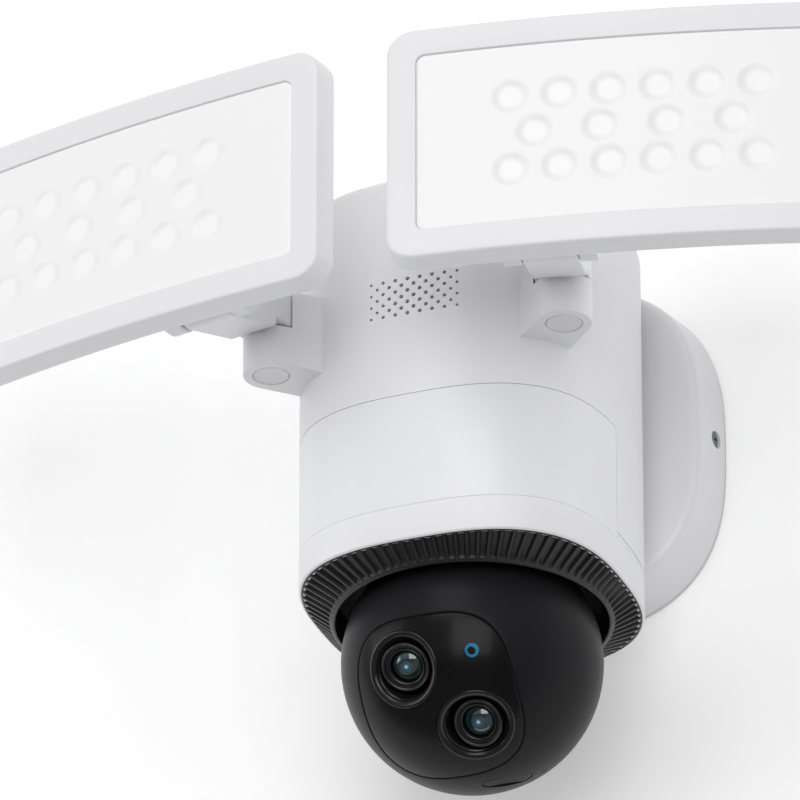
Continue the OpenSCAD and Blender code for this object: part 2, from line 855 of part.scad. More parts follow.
module pan_gear() {
  color("ivory") at_axis() translate([0, 0, pan_gear_z]) difference() {
    gear(pan_module, pan_teeth, pan_gear_t);
    translate([0, 0, -over]) cylinder(r = bearing_bore_r + 0.1, h = pan_gear_t + 2 * over);
  }
}

module head_post() {
  top = carrier_z + carrier_t + 2 - ball_z;
  color("darkgray") at_ball() difference() {
    union() {
      cylinder(r = post_r, h = top);
      translate([0, 0, top - 2]) cylinder(r = post_r + 3, h = 2);
      x_cylinder(hub_r, -hub_half, hub_half);
    }
    translate([0, 0, hub_r + 1]) cylinder(r = post_bore_r, h = top);
    x_cylinder(shaft_r + run_fit, -hub_half - over, hub_half + over);
  }
}

// ---- tilting head ----

module tilt_gear() {
  color("ivory") at_ball() difference() {
    translate([hub_half, 0, 0]) rotate([0, 90, 0]) gear(tilt_module, tilt_teeth, tilt_gear_t);
    x_cylinder(shaft_r + gap, 0, 2 * hub_half);
  }
}

module at_tilt_pinion() {
  at_face() translate([0, tilt_centres * cos(tilt_pinion_angle), tilt_centres * sin(tilt_pinion_angle)])
    children();
}

module tilt_pinion() {
  // Direction of the pinion from the shaft, turned about X, and the phase that meshes there
  direction = face_tilt + tilt_pinion_angle;
  phase = 90 - direction;
  tooth = 180 / tilt_pinion_teeth;
  turn = phase * (1 + tilt_teeth / tilt_pinion_teeth) + tooth + 180;
  color("ivory") at_tilt_pinion() rotate([-face_tilt, 0, 0]) {
    translate([hub_half + 0.2, 0, 0]) rotate([0, 90, 0]) rotate([0, 0, -turn])
      gear(tilt_module, tilt_pinion_teeth, tilt_gear_t - 0.4);
    x_cylinder(1, hub_half + 0.2, hub_half + 14);
  }
}

// A disc sector that the post passes through as the ball tilts
module post_slot() {
  reach = 2 * ball_r;
  edge = [for (a = [90 - slot_spread, 90, 90 + slot_spread]) [reach * cos(a), reach * sin(a)]];
  rotate([90, 0, -90]) translate([0, 0, -slot_half_w])
    linear_extrude(height = 2 * slot_half_w)
      polygon([[0, 0], edge[0], [reach, 2 * reach], [-reach, 2 * reach], edge[2]]);
}

module face_prism(grow, y0, y1) {
  translate([face_shift_u, -y0, face_shift_v]) rotate([90, 0, 0]) linear_extrude(height = y1 - y0)
    rounded_square(face_w + 2 * grow, face_h + 2 * grow, face_n);
}

// The card slot's cover and the reset button lie on one meridian, under the ball
under_turn = 125;
card_tilt = 74;
button_tilt = 56;
card_l = 18;
card_w = 6.4;
button_r = 1.2;

module at_under(tilt) {
  at_ball() rotate([0, 0, under_turn]) rotate([tilt, 0, 0]) children();
}

module card_prism(grow, y0, y1) {
  w = card_w + 2 * grow;
  l = card_l + 2 * grow;
  translate([0, -y0, 0]) rotate([90, 0, 0]) linear_extrude(height = y1 - y0) {
    for (z = [-(l - w) / 2, (l - w) / 2]) translate([0, z]) circle(r = w / 2);
    square([w, l - w], center = true);
  }
}

module ball_shell() {
  color("#242425") difference() {
    at_ball() sphere(r = ball_r);
    at_ball() sphere(r = ball_r - shell_t);
    at_face() face_prism(0, 15, 2 * ball_r);
    at_ball() post_slot();
    at_under(card_tilt) card_prism(0.15, ball_r - shell_t / 2, ball_r + over);
    at_under(card_tilt) card_prism(-1, ball_r - 2 * shell_t, ball_r + over);
    at_under(button_tilt) out_cylinder(button_r + run_fit, ball_r - 2 * shell_t, ball_r + over);
  }
}

module face_dome(r, front) {
  translate([0, -(front - r), 0]) sphere(r = r);
}

module at_lens(which) {
  place = lens_places[which == "wide" ? 0 : 1];
  at_face() translate([place[0], 0, place[1]]) children();
}

// A bezel's frame: canted outwards about its own front centre
module at_bezel(which) {
  place = lens_places[which == "wide" ? 0 : 1];
  away = atan2(place[1], place[0]);
  at_lens(which) translate([0, -lens_front, 0])
    rotate([0, -away, 0]) rotate([0, 0, bezel_cant]) rotate([0, away, 0])
      children();
}

module face_plate() {
  color("#161616") difference() {
    intersection() {
      at_face() face_dome(face_dome_r, face_front);
      at_face() face_prism(-face_gap, face_back, 2 * ball_r);
    }
    at_face() intersection() {
      face_dome(face_dome_r - face_t, face_front - face_t);
      face_prism(-face_gap - 1.6, 0, 2 * ball_r);
    }
    for (which = ["wide", "tele"])
      at_bezel(which) rotate([90, 0, 0]) translate([0, 0, -14]) cylinder(r = bezel_r + snug, h = 24);
    at_status() out_cylinder(status_r + snug, 0, ball_r);
  }
}

module at_status() {
  at_face() translate([status_place[0], 0, status_place[1]]) children();
}

bezel_wall = 1.2;

// Opens out towards the back, to clear the straight barrel behind it
module bezel(which) {
  at_bezel(which) rotate([90, 0, 0]) rotate_extrude()
    polygon([[bezel_r, -bezel_depth], [bezel_r, 0.1], [bezel_r - 0.9, 0.8], [bezel_r - 2, 0.6],
             [bezel_r - 2.4, -0.4], [barrel_r + 1.7, -3], [bezel_r - bezel_wall, -bezel_depth]]);
}

module wide_lens_bezel() {
  color("#1b1b1b") bezel("wide");
}

module tele_lens_bezel() {
  color("#1b1b1b") bezel("tele");
}

module barrel(which) {
  front = lens_front - 2.2;
  at_lens(which) difference() {
    out_cylinder(barrel_r, chassis_front + chassis_t, front);
    translate([0, -front + 2.2, 0]) rotate([90, 0, 0])
      cylinder(r1 = glass_r + snug, r2 = barrel_r - 1.1, h = 2.2 + 0.01);
    out_cylinder(glass_r + snug, front - 6, front);
  }
}

module wide_lens_barrel() {
  color("#101010") barrel("wide");
}

module tele_lens_barrel() {
  color("#101010") barrel("tele");
}

module lens_glass(which) {
  front = lens_front - glass_sink;
  dome = 9;
  at_lens(which) intersection() {
    out_cylinder(glass_r, front - 3.5, front + over);
    translate([0, -(front - dome), 0]) sphere(r = dome);
  }
}

module wide_lens_glass() {
  color("#20343a") lens_glass("wide");
}

module tele_lens_glass() {
  color("#20343a") lens_glass("tele");
}

ear_left = -hub_half - 5;
ear_right = hub_half + tilt_gear_t + 1;
chassis_ear_t = 3;

// Side view of an ear: the shaft's boss, joined to the front plate
module ear_shape() {
  circle(r = hub_r);
  translate([-chassis_front - 0.2, -hub_r]) square([chassis_front + 0.2, 2 * hub_r]);
}

module chassis() {
  pinion = [tilt_centres * cos(tilt_pinion_angle), tilt_centres * sin(tilt_pinion_angle)];
  color("dimgray") at_face() difference() {
    union() {
      intersection() {
        sphere(r = ball_r - shell_t - 0.1);
        translate([-ball_r, -chassis_front - chassis_t, -ball_r])
          cube([2 * ball_r, chassis_t, 2 * ball_r]);
      }
      for (x = [ear_left, ear_right])
        translate([x, 0, 0]) rotate([90, 0, 90]) linear_extrude(height = chassis_ear_t) ear_shape();
      translate([ear_right, 0, 0]) rotate([90, 0, 90]) linear_extrude(height = chassis_ear_t)
        hull() {
          circle(r = 4);
          translate(pinion) circle(r = tilt_motor_r);
        }
    }
    x_cylinder(shaft_r + snug, -ball_r, ball_r);
    translate([0, pinion[0], pinion[1]]) x_cylinder(2, hub_half, ball_r);
  }
}

module tilt_shaft() {
  color("silver") at_ball()
    x_cylinder(shaft_r, ear_left - 2, ear_right + chassis_ear_t + 2);
}

module tilt_motor() {
  x0 = ear_right + chassis_ear_t + 0.05;
  color("silver") at_tilt_pinion() difference() {
    x_cylinder(tilt_motor_r, x0, x0 + tilt_motor_l);
    x_cylinder(1 + run_fit, 0, hub_half + 15);
  }
}

module image_board() {
  size = 12;
  color("seagreen") at_face() for (place = lens_places)
    translate([place[0] + sign(place[0]) * 6 - size / 2, -chassis_front + 0.05,
               place[1] + sign(place[1]) * 4 - size / 2])
      cube([size, 1.2, size]);
}

module status_light() {
  front = dome_depth(norm(status_place));
  color("deepskyblue") at_status() difference() {
    out_cylinder(status_r, front - 3.5, front);
    out_cylinder(status_bore_r, 0, ball_r + over);
  }
}

module card_cover() {
  color("#1d1d1e") intersection() {
    at_under(card_tilt) union() {
      card_prism(0, ball_r - shell_t / 2 + snug, ball_r + over);
      card_prism(-1.05, ball_r - shell_t + snug, ball_r);
    }
    at_ball() sphere(r = ball_r - 0.15);
  }
}

// A round button with a flange inside the shell
module reset_button() {
  color("#303030") at_under(button_tilt) {
    out_cylinder(button_r, ball_r - shell_t - 3, ball_r - 0.1);
    out_cylinder(button_r + 0.9, ball_r - shell_t - 3, ball_r - shell_t - 1.2);
  }
}

// ---- lights ----

// Curved slab between two depths behind the panel's front, with a rounded outline
module curved_slab(y0, y1, w, h, corner) {
  intersection() {
    translate([0, panel_bend_r, -h / 2 - over]) difference() {
      cylinder(r = panel_bend_r - y0, h = h + 2 * over, $fn = 720);
      translate([0, 0, -over]) cylinder(r = panel_bend_r - y1, h = h + 4 * over, $fn = 720);
    }
    translate([0, 3 * panel_t, 0]) rotate([90, 0, 0])
      linear_extrude(height = 5 * panel_t) rounded_rectangle(w, h, corner);
  }
}

module rounded_rectangle(w, h, r) {
  square([w - 2 * r, h], center = true);
  square([w, h - 2 * r], center = true);
  for (x = [-1, 1], y = [-1, 1])
    translate([x * (w / 2 - r), y * (h / 2 - r)]) circle(r = r);
}

diffuser_w = panel_w - 2 * panel_rim;
diffuser_h = panel_h - 2 * panel_rim;
diffuser_corner = 4;

module panel_shell() {
  color("whitesmoke") at_panel() difference() {
    curved_slab(0, panel_t, panel_w, panel_h, panel_corner);
    curved_slab(diffuser_sink + diffuser_t, panel_t - panel_wall,
                panel_w - 2 * panel_wall, panel_h - 2 * panel_wall, panel_corner - panel_wall);
    curved_slab(-over, panel_t / 2, diffuser_w, diffuser_h, diffuser_corner);
    // Wire hole into the bracket
    translate([swivel_u, 0, tilt_z - panel_z + 14]) rotate([-90, 0, 0]) cylinder(r = 3, h = 2 * panel_t);
  }
}

module diffuser() {
  color("white") at_panel()
    curved_slab(diffuser_sink, diffuser_sink + diffuser_t,
                diffuser_w - 0.2, diffuser_h - 0.2, diffuser_corner);
}

module led_board() {
  color("white") at_panel()
    curved_slab(led_board_y, led_board_y + led_board_t, diffuser_w, diffuser_h, diffuser_corner);
}

// Chips face out of the curved board, in rows
module led_chips() {
  r = panel_bend_r - led_board_y;
  color("khaki") at_panel() translate([0, panel_bend_r, 0])
    for (row = led_rows, k = [0 : row[0] - 1])
      rotate([0, 0, (k - (row[0] - 1) / 2) * row[1] / r * 180 / PI])
        translate([-led_size / 2, -r - led_t, row[2] * led_row_pitch - led_size / 2])
          cube([led_size, led_t, led_size]);
}

module at_tilt_axis() {
  at_panel() translate([swivel_u, tilt_v, tilt_z - panel_z]) children();
}

module knuckle() {
  half = neck_w / 2;
  color("whitesmoke") difference() {
    union() {
      at_swivel() translate([0, 0, seat_top + gap]) cylinder(r = half, h = knuckle_h);
      hull() {
        at_tilt_axis() x_cylinder(barrel_pin_r, -half, half, $fn = 32);
        // Above the seat all the way past the arm's round end, so that the neck swings over it
        at_panel() translate([swivel_u - half, swivel_v - neck_root, seat_top + gap - panel_z])
          cube([2 * half, neck_root, knuckle_h]);
      }
    }
    at_tilt_axis() x_cylinder(pin_r + run_fit, -half - over, half + over);
    // Clear of the arm's seat at every angle of the swivel
    at_panel() translate([swivel_u - half - over, swivel_v - neck_root, arm_bottom - panel_z])
      cube([2 * (half + over), neck_root + half + over, arm_seat_h + gap]);
  }
  color("whitesmoke") at_swivel() {
    translate([0, 0, arm_bottom + plug_t + 2.8]) cylinder(r = pin_r + 1, h = arm_seat_h);
    translate([0, 0, arm_bottom + plug_t + 0.3]) cylinder(r = pin_r + 2, h = 2);
    translate([0, 0, arm_bottom + plug_t + 0.3]) cylinder(r = pin_r + 1, h = 3);
  }
}

module bracket() {
  half = neck_w / 2 + ear_gap;
  color("whitesmoke") difference() {
    union() {
      for (side = [-1, 1]) at_tilt_axis() translate([side * (half + ear_t / 2), 0, 0]) {
        x_cylinder(ear_r, -ear_t / 2, ear_t / 2);
        translate([-ear_t / 2, -tilt_standoff - ear_root, -ear_r])
          cube([ear_t, tilt_standoff + ear_root, 2 * ear_r]);
      }
      at_panel() translate([swivel_u - half - ear_t, panel_t - over, tilt_z - panel_z + foot_rise])
        cube([2 * (half + ear_t), back_v - panel_t + over + foot_t, foot_h]);
      for (side = [-1, 1]) at_tilt_axis()
        translate([side > 0 ? half : -half - ear_t, -tilt_standoff - ear_root, 0])
          cube([ear_t, foot_t + ear_root, foot_rise + over]);
    }
    at_panel() curved_slab(-panel_t, panel_t + snug, 2 * panel_w, 2 * panel_h, 1);
    at_tilt_axis() x_cylinder(pin_r + snug, -half - 2 * ear_t, half + 2 * ear_t);
    at_panel() translate([swivel_u, 0, tilt_z - panel_z + foot_rise + foot_h / 2]) rotate([-90, 0, 0])
      cylinder(r = wire_hole_r, h = 3 * panel_t);
  }
}

module tilt_pin() {
  half = neck_w / 2 + ear_gap + ear_t;
  color("silver") at_tilt_axis() x_cylinder(pin_r, -half, half);
}

module left_knuckle() { on_side("left") knuckle(); }
module left_tilt_pin() { on_side("left") tilt_pin(); }
module left_bracket() { on_side("left") bracket(); }
module left_panel_shell() { on_side("left") panel_shell(); }
module left_diffuser() { on_side("left") diffuser(); }
module left_led_board() { on_side("left") led_board(); }
module left_led_chips() { on_side("left") led_chips(); }
module right_knuckle() { on_side("right") knuckle(); }
module right_tilt_pin() { on_side("right") tilt_pin(); }
module right_bracket() { on_side("right") bracket(); }
module right_panel_shell() { on_side("right") panel_shell(); }
module right_diffuser() { on_side("right") diffuser(); }
module right_led_board() { on_side("right") led_board(); }
module right_led_chips() { on_side("right") led_chips(); }

wall_plate();
wall_gasket();
mounting_bracket();
side_screws();
terminal_block();
mount_collar();
housing_screws();
housing();
rear_cover();
sensor_window();
sensor_board();
motion_sensors();
speaker();
grille_mesh();
main_board();
power_board();
antennas();
left_arm();
right_arm();
left_arm_plug();
right_arm_plug();
camera_ring();
bearing_carrier();
pan_bearing();
pan_motor();
pan_pinion();
turntable();
pan_gear();
head_post();
tilt_gear();
tilt_pinion();
ball_shell();
face_plate();
chassis();
tilt_shaft();
tilt_motor();
wide_lens_bezel();
tele_lens_bezel();
wide_lens_barrel();
tele_lens_barrel();
wide_lens_glass();
tele_lens_glass();
image_board();
status_light();
card_cover();
reset_button();
left_knuckle();
left_tilt_pin();
left_bracket();
left_panel_shell();
left_diffuser();
left_led_board();
left_led_chips();
right_knuckle();
right_tilt_pin();
right_bracket();
right_panel_shell();
right_diffuser();
right_led_board();
right_led_chips();
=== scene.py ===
"""Wall-mounted floodlight security camera, dressed for a studio render.

Each sub-assembly is a class that holds its sizes in millimetres, builds its
meshes and gives them their finish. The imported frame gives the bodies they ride.
"""

import logging
import math
from collections.abc import Iterable, Sequence
from dataclasses import dataclass, field
from enum import Enum
from typing import Any

import bmesh
import bpy
from mathutils import Matrix, Vector


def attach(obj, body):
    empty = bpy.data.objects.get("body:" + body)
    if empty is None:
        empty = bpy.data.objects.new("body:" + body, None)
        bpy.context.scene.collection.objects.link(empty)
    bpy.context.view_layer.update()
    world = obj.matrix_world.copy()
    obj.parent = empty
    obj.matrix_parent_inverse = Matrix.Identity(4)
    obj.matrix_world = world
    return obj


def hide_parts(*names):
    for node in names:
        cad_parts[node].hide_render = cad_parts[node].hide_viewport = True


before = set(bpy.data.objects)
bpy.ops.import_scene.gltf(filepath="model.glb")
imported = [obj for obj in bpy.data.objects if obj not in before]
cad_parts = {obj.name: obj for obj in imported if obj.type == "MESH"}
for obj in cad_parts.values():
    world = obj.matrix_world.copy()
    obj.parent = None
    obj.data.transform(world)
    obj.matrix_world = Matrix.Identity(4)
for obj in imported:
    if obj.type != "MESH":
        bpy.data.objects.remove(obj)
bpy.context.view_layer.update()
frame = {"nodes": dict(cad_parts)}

LOG = logging.getLogger("floodlight_camera")
MM = 0.001
Point = tuple[float, float, float]


# ---- nodes and colours ----


def linear(hex_colour: str) -> tuple[float, float, float, float]:
    """Turn an sRGB hex colour into linear light.

    Args:
        hex_colour: Six hex digits after a hash sign.

    Returns:
        Linear red, green and blue, and an alpha of 1.
    """
    parts = [int(hex_colour[i : i + 2], 16) / 255 for i in (1, 3, 5)]
    red, green, blue = (
        c / 12.92 if c <= 0.04045 else ((c + 0.055) / 1.055) ** 2.4 for c in parts
    )
    return red, green, blue, 1.0


def add_node(
    tree: bpy.types.NodeTree,
    kind: str,
    values: dict[str | int, Any] | None = None,
    links: dict[str | int, bpy.types.NodeSocket] | None = None,
    **settings: Any,
) -> bpy.types.Node:
    """Add one node with its settings, socket values and incoming links.

    Args:
        tree: The tree that gets the node.
        kind: Blender's name of the node type.
        values: Default value of each named or numbered input.
        links: Output socket that feeds each named or numbered input.
        **settings: Properties of the node itself.

    Returns:
        The new node.
    """
    node = tree.nodes.new(kind)
    for name, value in settings.items():
        setattr(node, name, value)
    for socket, value in (values or {}).items():
        node.inputs[socket].default_value = value
    for socket, source in (links or {}).items():
        tree.links.new(source, node.inputs[socket])
    return node


def per_mm(size: float) -> float:
    """Texture scale, in repeats per metre, of a detail of this size in millimetres."""
    return 1.0 / (size * MM)


# ---- finishes ----


@dataclass(frozen=True)
class Finish:
    """A real material with its typical values, before its own surface detail.

    Attributes:
        label: The material's common name and how its surface was made.
        slot: Name of the material slot that the finish belongs to; not used.
        colour: Main colour as sRGB hex.
        shade: Second colour, which the first drifts towards.
        roughness: Mean roughness.
        spread: How far the roughness drifts each way.
        grain: Size of the surface's texture in millimetres.
        relief: Depth of the texture in millimetres.
        metallic: 1 for a metal.
        values: Other values of the shader's own sockets.
    """

    label: str
    slot: str
    colour: str
    shade: str
    roughness: float
    spread: float = 0.03
    grain: float = 0.8
    relief: float = 0.01
    metallic: float = 0.0
    values: tuple[tuple[str, Any], ...] = ()

    def material(self) -> bpy.types.Material:
        """Make the material, or find it if it's already made.

        Returns:
            The node material.
        """
        found = bpy.data.materials.get(self.label)
        if found is not None:
            return found
        material = bpy.data.materials.new(self.label)
        material.use_nodes = True
        tree = material.node_tree
        tree.nodes.clear()
        values = {"Metallic": self.metallic, "Roughness": self.roughness}
        values.update(dict(self.values))
        shader = add_node(tree, "ShaderNodeBsdfPrincipled", values)
        add_node(
            tree,
            "ShaderNodeOutputMaterial",
            links={"Surface": shader.outputs["BSDF"]},
        )
        place = add_node(tree, "ShaderNodeTexCoord").outputs["Object"]
        material.diffuse_color = linear(self.colour)
        self.detail(tree, shader, place)
        return material

    def detail(
        self,
        tree: bpy.types.NodeTree,
        shader: bpy.types.Node,
        place: bpy.types.NodeSocket,
    ) -> None:
        """Give the surface its colour drift, uneven gloss and fine relief.

        Args:
            tree: The material's tree.
            shader: Its surface shader.
            place: Socket with the place on the object, in metres.
        """
        cloud = add_node(
            tree,
            "ShaderNodeTexNoise",
            {"Scale": per_mm(38.0), "Detail": 3.0},
            {"Vector": place},
        )
        tone = add_node(
            tree,
            "ShaderNodeMix",
            {6: linear(self.colour), 7: linear(self.shade)},
            {0: cloud.outputs[0]},
            data_type="RGBA",
        )
        tree.links.new(tone.outputs[2], shader.inputs["Base Color"])
        gloss = add_node(
            tree,
            "ShaderNodeMapRange",
            {
                "From Min": 0.3,
                "From Max": 0.7,
                "To Min": self.roughness - self.spread,
                "To Max": self.roughness + self.spread,
            },
            {"Value": cloud.outputs[0]},
        )
        tree.links.new(gloss.outputs["Result"], shader.inputs["Roughness"])
        tree.links.new(self.relief_of(tree, place), shader.inputs["Normal"])

    def relief_of(
        self, tree: bpy.types.NodeTree, place: bpy.types.NodeSocket
    ) -> bpy.types.NodeSocket:
        """Fine moulded texture, as a normal.

        Args:
            tree: The material's tree.
            place: Socket with the place on the object, in metres.

        Returns:
            The socket that carries the normal.
        """
        grain = add_node(
            tree,
            "ShaderNodeTexNoise",
            {"Scale": per_mm(self.grain), "Detail": 2.0, "Roughness": 0.6},
            {"Vector": place},
        )
        return add_node(
            tree,
            "ShaderNodeBump",
            {"Strength": 0.5, "Distance": self.relief * MM},
            {"Height": grain.outputs[0]},
        ).outputs["Normal"]


@dataclass(frozen=True)
class BrushedFinish(Finish):
    """A metal with fine parallel marks from a wheel or a drawing die."""

    along: Point = (0.02, 1.0, 1.0)

    def relief_of(
        self, tree: bpy.types.NodeTree, place: bpy.types.NodeSocket
    ) -> bpy.types.NodeSocket:
        """Parallel scratches, as a normal.

        Args:
            tree: The material's tree.
            place: Socket with the place on the object, in metres.

        Returns:
            The socket that carries the normal.
        """
        drawn = add_node(
            tree,
            "ShaderNodeVectorMath",
            {1: self.along},
            {0: place},
            operation="MULTIPLY",
        )
        marks = add_node(
            tree,
            "ShaderNodeTexNoise",
            {"Scale": per_mm(self.grain), "Detail": 4.0},
            {"Vector": drawn.outputs[0]},
        )
        return add_node(
            tree,
            "ShaderNodeBump",
            {"Strength": 0.6, "Distance": self.relief * MM},
            {"Height": marks.outputs[0]},
        ).outputs["Normal"]


@dataclass(frozen=True)
class WovenFinish(Finish):
    """Cloth of crossing threads, one thread each grain."""

    def relief_of(
        self, tree: bpy.types.NodeTree, place: bpy.types.NodeSocket
    ) -> bpy.types.NodeSocket:
        """Crossing threads, as a normal.

        Args:
            tree: The material's tree.
            place: Socket with the place on the object, in metres.

        Returns:
            The socket that carries the normal.
        """
        threads = [
            add_node(
                tree,
                "ShaderNodeTexWave",
                {"Scale": per_mm(self.grain) / 20.0, "Distortion": 0.4},
                {"Vector": place},
                bands_direction=direction,
            ).outputs[0]
            for direction in ("X", "Z")
        ]
        height = add_node(
            tree, "ShaderNodeMath", links={0: threads[0], 1: threads[1]}, operation="MULTIPLY"
        )
        return add_node(
            tree,
            "ShaderNodeBump",
            {"Strength": 0.8, "Distance": self.relief * MM},
            {"Height": height.outputs[0]},
        ).outputs["Normal"]


@dataclass(frozen=True)
class LedDiffuser(Finish):
    """Opal acrylic sheet; the lens caps of the chips behind it show as soft spots.

    Attributes:
        outer_pitch: Distance between spots of the two outer rows, in millimetres.
        middle_pitch: Distance between spots of the middle row.
        row_pitch: Distance between rows.
        spot_r: Radius at which a spot has faded out.
        spot_colour: Colour of a spot.
    """

    outer_pitch: float = 16.6
    middle_pitch: float = 22.3
    row_pitch: float = 13.9
    spot_r: float = 7.6
    spot_colour: str = "#FBFBFB"

    def spots(
        self,
        tree: bpy.types.NodeTree,
        across: bpy.types.NodeSocket,
        off_row: bpy.types.NodeSocket,
        pitch: float,
        reach: float,
    ) -> bpy.types.NodeSocket:
        """Soft round spots along one row, 1 in their middle.

        Args:
            tree: The material's tree.
            across: Socket with the distance along the row, in metres.
            off_row: Socket with the distance from the row's line.
            pitch: Distance between spots in millimetres.
            reach: Half of the row's length in millimetres.

        Returns:
            The socket with the spots' strength.
        """

        def maths(operation: str, *inputs: bpy.types.NodeSocket | float) -> bpy.types.NodeSocket:
            """One step of arithmetic on sockets or numbers, as a socket."""
            values = {i: v for i, v in enumerate(inputs) if isinstance(v, float)}
            links = {i: v for i, v in enumerate(inputs) if not isinstance(v, float)}
            return add_node(tree, "ShaderNodeMath", values, links, operation=operation).outputs[0]

        cell = maths("FRACT", maths("ADD", maths("MULTIPLY", across, per_mm(pitch)), 8.0))
        step = maths("MULTIPLY", maths("SUBTRACT", cell, 0.5), pitch * MM)
        away = maths("SQRT", maths("ADD", maths("POWER", step, 2.0), maths("POWER", off_row, 2.0)))
        spot = add_node(
            tree,
            "ShaderNodeMapRange",
            {
                "From Min": self.spot_r * MM * 0.35,
                "From Max": self.spot_r * MM,
                "To Min": 1.0,
                "To Max": 0.0,
            },
            {"Value": away},
            interpolation_type="SMOOTHERSTEP",
        ).outputs["Result"]
        inside = maths("LESS_THAN", maths("ABSOLUTE", across), reach * MM)
        return maths("MULTIPLY", spot, inside)

    def detail(
        self,
        tree: bpy.types.NodeTree,
        shader: bpy.types.Node,
        place: bpy.types.NodeSocket,
    ) -> None:
        """Tint and dish the sheet at each chip.

        Args:
            tree: The material's tree.
            shader: Its surface shader.
            place: Socket with the place on the panel, in metres.
        """
        parts = add_node(tree, "ShaderNodeSeparateXYZ", links={0: place})
        across, height = parts.outputs[0], parts.outputs[2]
        rise = add_node(
            tree, "ShaderNodeMath", links={0: height}, operation="ABSOLUTE"
        ).outputs[0]
        off_outer = add_node(
            tree, "ShaderNodeMath", {1: self.row_pitch * MM}, {0: rise}, operation="SUBTRACT"
        ).outputs[0]
        outer = self.spots(tree, across, off_outer, self.outer_pitch, 3 * self.outer_pitch)
        middle = self.spots(tree, across, height, self.middle_pitch, 2 * self.middle_pitch)
        both = add_node(
            tree, "ShaderNodeMath", links={0: outer, 1: middle}, operation="MAXIMUM"
        ).outputs[0]
        tone = add_node(
            tree,
            "ShaderNodeMix",
            {6: linear(self.colour), 7: linear(self.spot_colour)},
            {0: both},
            data_type="RGBA",
        )
        tree.links.new(tone.outputs[2], shader.inputs["Base Color"])
        swell = add_node(
            tree,
            "ShaderNodeBump",
            {"Strength": 1.0, "Distance": self.relief * MM},
            {"Height": both},
            invert=True,
        )
        tree.links.new(swell.outputs["Normal"], shader.inputs["Normal"])


@dataclass(frozen=True)
class PaintedReflectionGlass(Finish):
    """Lens glass over a dark barrel, its bright middle and green-blue rings painted reflections.

    Attributes:
        rings: Radius in millimetres and colour of each ring seen inside the lens; the bright middle and the
            teal rings are painted reflections, the dark rings the barrel.
        axis_offset: Place of the lens's axis is the object's own Y axis.
    """

    # Bright middle and teal rings: painted reflections of the coated inner lenses
    rings: tuple[tuple[float, str], ...] = (
        (0.0, "#F2FCFD"),
        (0.3, "#A6DDE6"),
        (0.7, "#2E7390"),
        (1.3, "#0F3044"),
        (1.7, "#1F4C58"),
        (2.3, "#0A171C"),
        (3.3, "#12292D"),
        (4.4, "#1D4545"),
        (4.9, "#0B1617"),
        (5.4, "#040505"),
    )

    def detail(
        self,
        tree: bpy.types.NodeTree,
        shader: bpy.types.Node,
        place: bpy.types.NodeSocket,
    ) -> None:
        """Colour the glass in rings about its axis, with painted reflections in the light rings.

        Args:
            tree: The material's tree.
            shader: Its surface shader.
            place: Socket with the place on the lens, in metres.
        """
        flat = add_node(
            tree,
            "ShaderNodeVectorMath",
            {1: (1.0, 0.0, 1.0)},
            {0: place},
            operation="MULTIPLY",
        )
        away = add_node(
            tree, "ShaderNodeVectorMath", links={0: flat.outputs[0]}, operation="LENGTH"
        )
        reach = self.rings[-1][0]
        share = add_node(
            tree,
            "ShaderNodeMapRange",
            {"From Min": 0.0, "From Max": reach * MM},
            {"Value": away.outputs["Value"]},
        )
        ramp = add_node(tree, "ShaderNodeValToRGB", links={0: share.outputs["Result"]})
        stops = ramp.color_ramp.elements
        while len(stops) < len(self.rings):
            stops.new(0.5)
        for stop, (radius, colour) in zip(stops, self.rings):
            stop.position = radius / reach
            stop.color = linear(colour)
        tree.links.new(ramp.outputs["Color"], shader.inputs["Base Color"])


# Polycarbonate moulded in a fine spark-eroded tool: an even satin white with a
# soft wide highlight. The real grain is 0.1 mm, drawn at 0.9 mm so that it shows.
WHITE_POLYCARBONATE = Finish(
    "white_polycarbonate_moulded", "white_shell", "#ECECEE", "#E8E8EA", 0.42,
    grain=0.9, relief=0.012, values=(("IOR", 1.585),),
)
# The same plastic polished a little by a second tool insert.
PLUG_POLYCARBONATE = Finish(
    "white_polycarbonate_plug", "arm_plugs", "#E6E6E8", "#E2E2E4", 0.36,
    grain=0.9, relief=0.008, values=(("IOR", 1.585),),
)
# High-density polyethylene, which lets warmth through: milky and a little glossier.
MILKY_POLYETHYLENE = Finish(
    "milky_polyethylene_window", "sensor_window", "#EDEDEF", "#E9E9EC", 0.3,
    grain=1.6, relief=0.006,
    values=(("IOR", 1.54), ("Subsurface Weight", 0.15), ("Subsurface Scale", 0.002)),
)
# Opal acrylic sheet, smooth outside, that scatters the light of the chips.
OPAL_ACRYLIC = LedDiffuser(
    "opal_acrylic_diffuser", "diffusers", "#F7F7F8", "#F3F3F4", 0.34,
    relief=0.9, values=(("IOR", 1.49),),
)
# EPDM rubber, matt and slightly dusty.
PALE_EPDM = Finish("pale_epdm_rubber", "gasket", "#DADADB", "#D2D2D4", 0.75, grain=0.5, relief=0.03)
# ABS moulded in a satin tool: black with a wide soft grey highlight.
BLACK_ABS = Finish(
    "black_abs_satin", "ball", "#1A1A1C", "#1D1D20", 0.38,
    grain=0.7, relief=0.012, values=(("IOR", 1.53), ("Specular IOR Level", 0.1)),
)
# The same ABS on the ring, a touch rougher because the ribs were eroded.
RIB_ABS = Finish(
    "black_abs_ribbed", "ring", "#1A1A1C", "#202022", 0.33,
    grain=0.6, relief=0.02, values=(("IOR", 1.53), ("Specular IOR Level", 0.35)),
)
# Acrylic face, moulded in a polished tool: deep black with clear reflections.
BLACK_ACRYLIC = Finish(
    "black_acrylic_gloss", "face", "#0C0C0D", "#0E0E0F", 0.26, 0.02,
    grain=4.0, relief=0.004,
    values=(
        ("IOR", 1.49),
        ("Specular IOR Level", 0.14),
        ("Coat Weight", 0.03),
        ("Coat Roughness", 0.05),
    ),
)
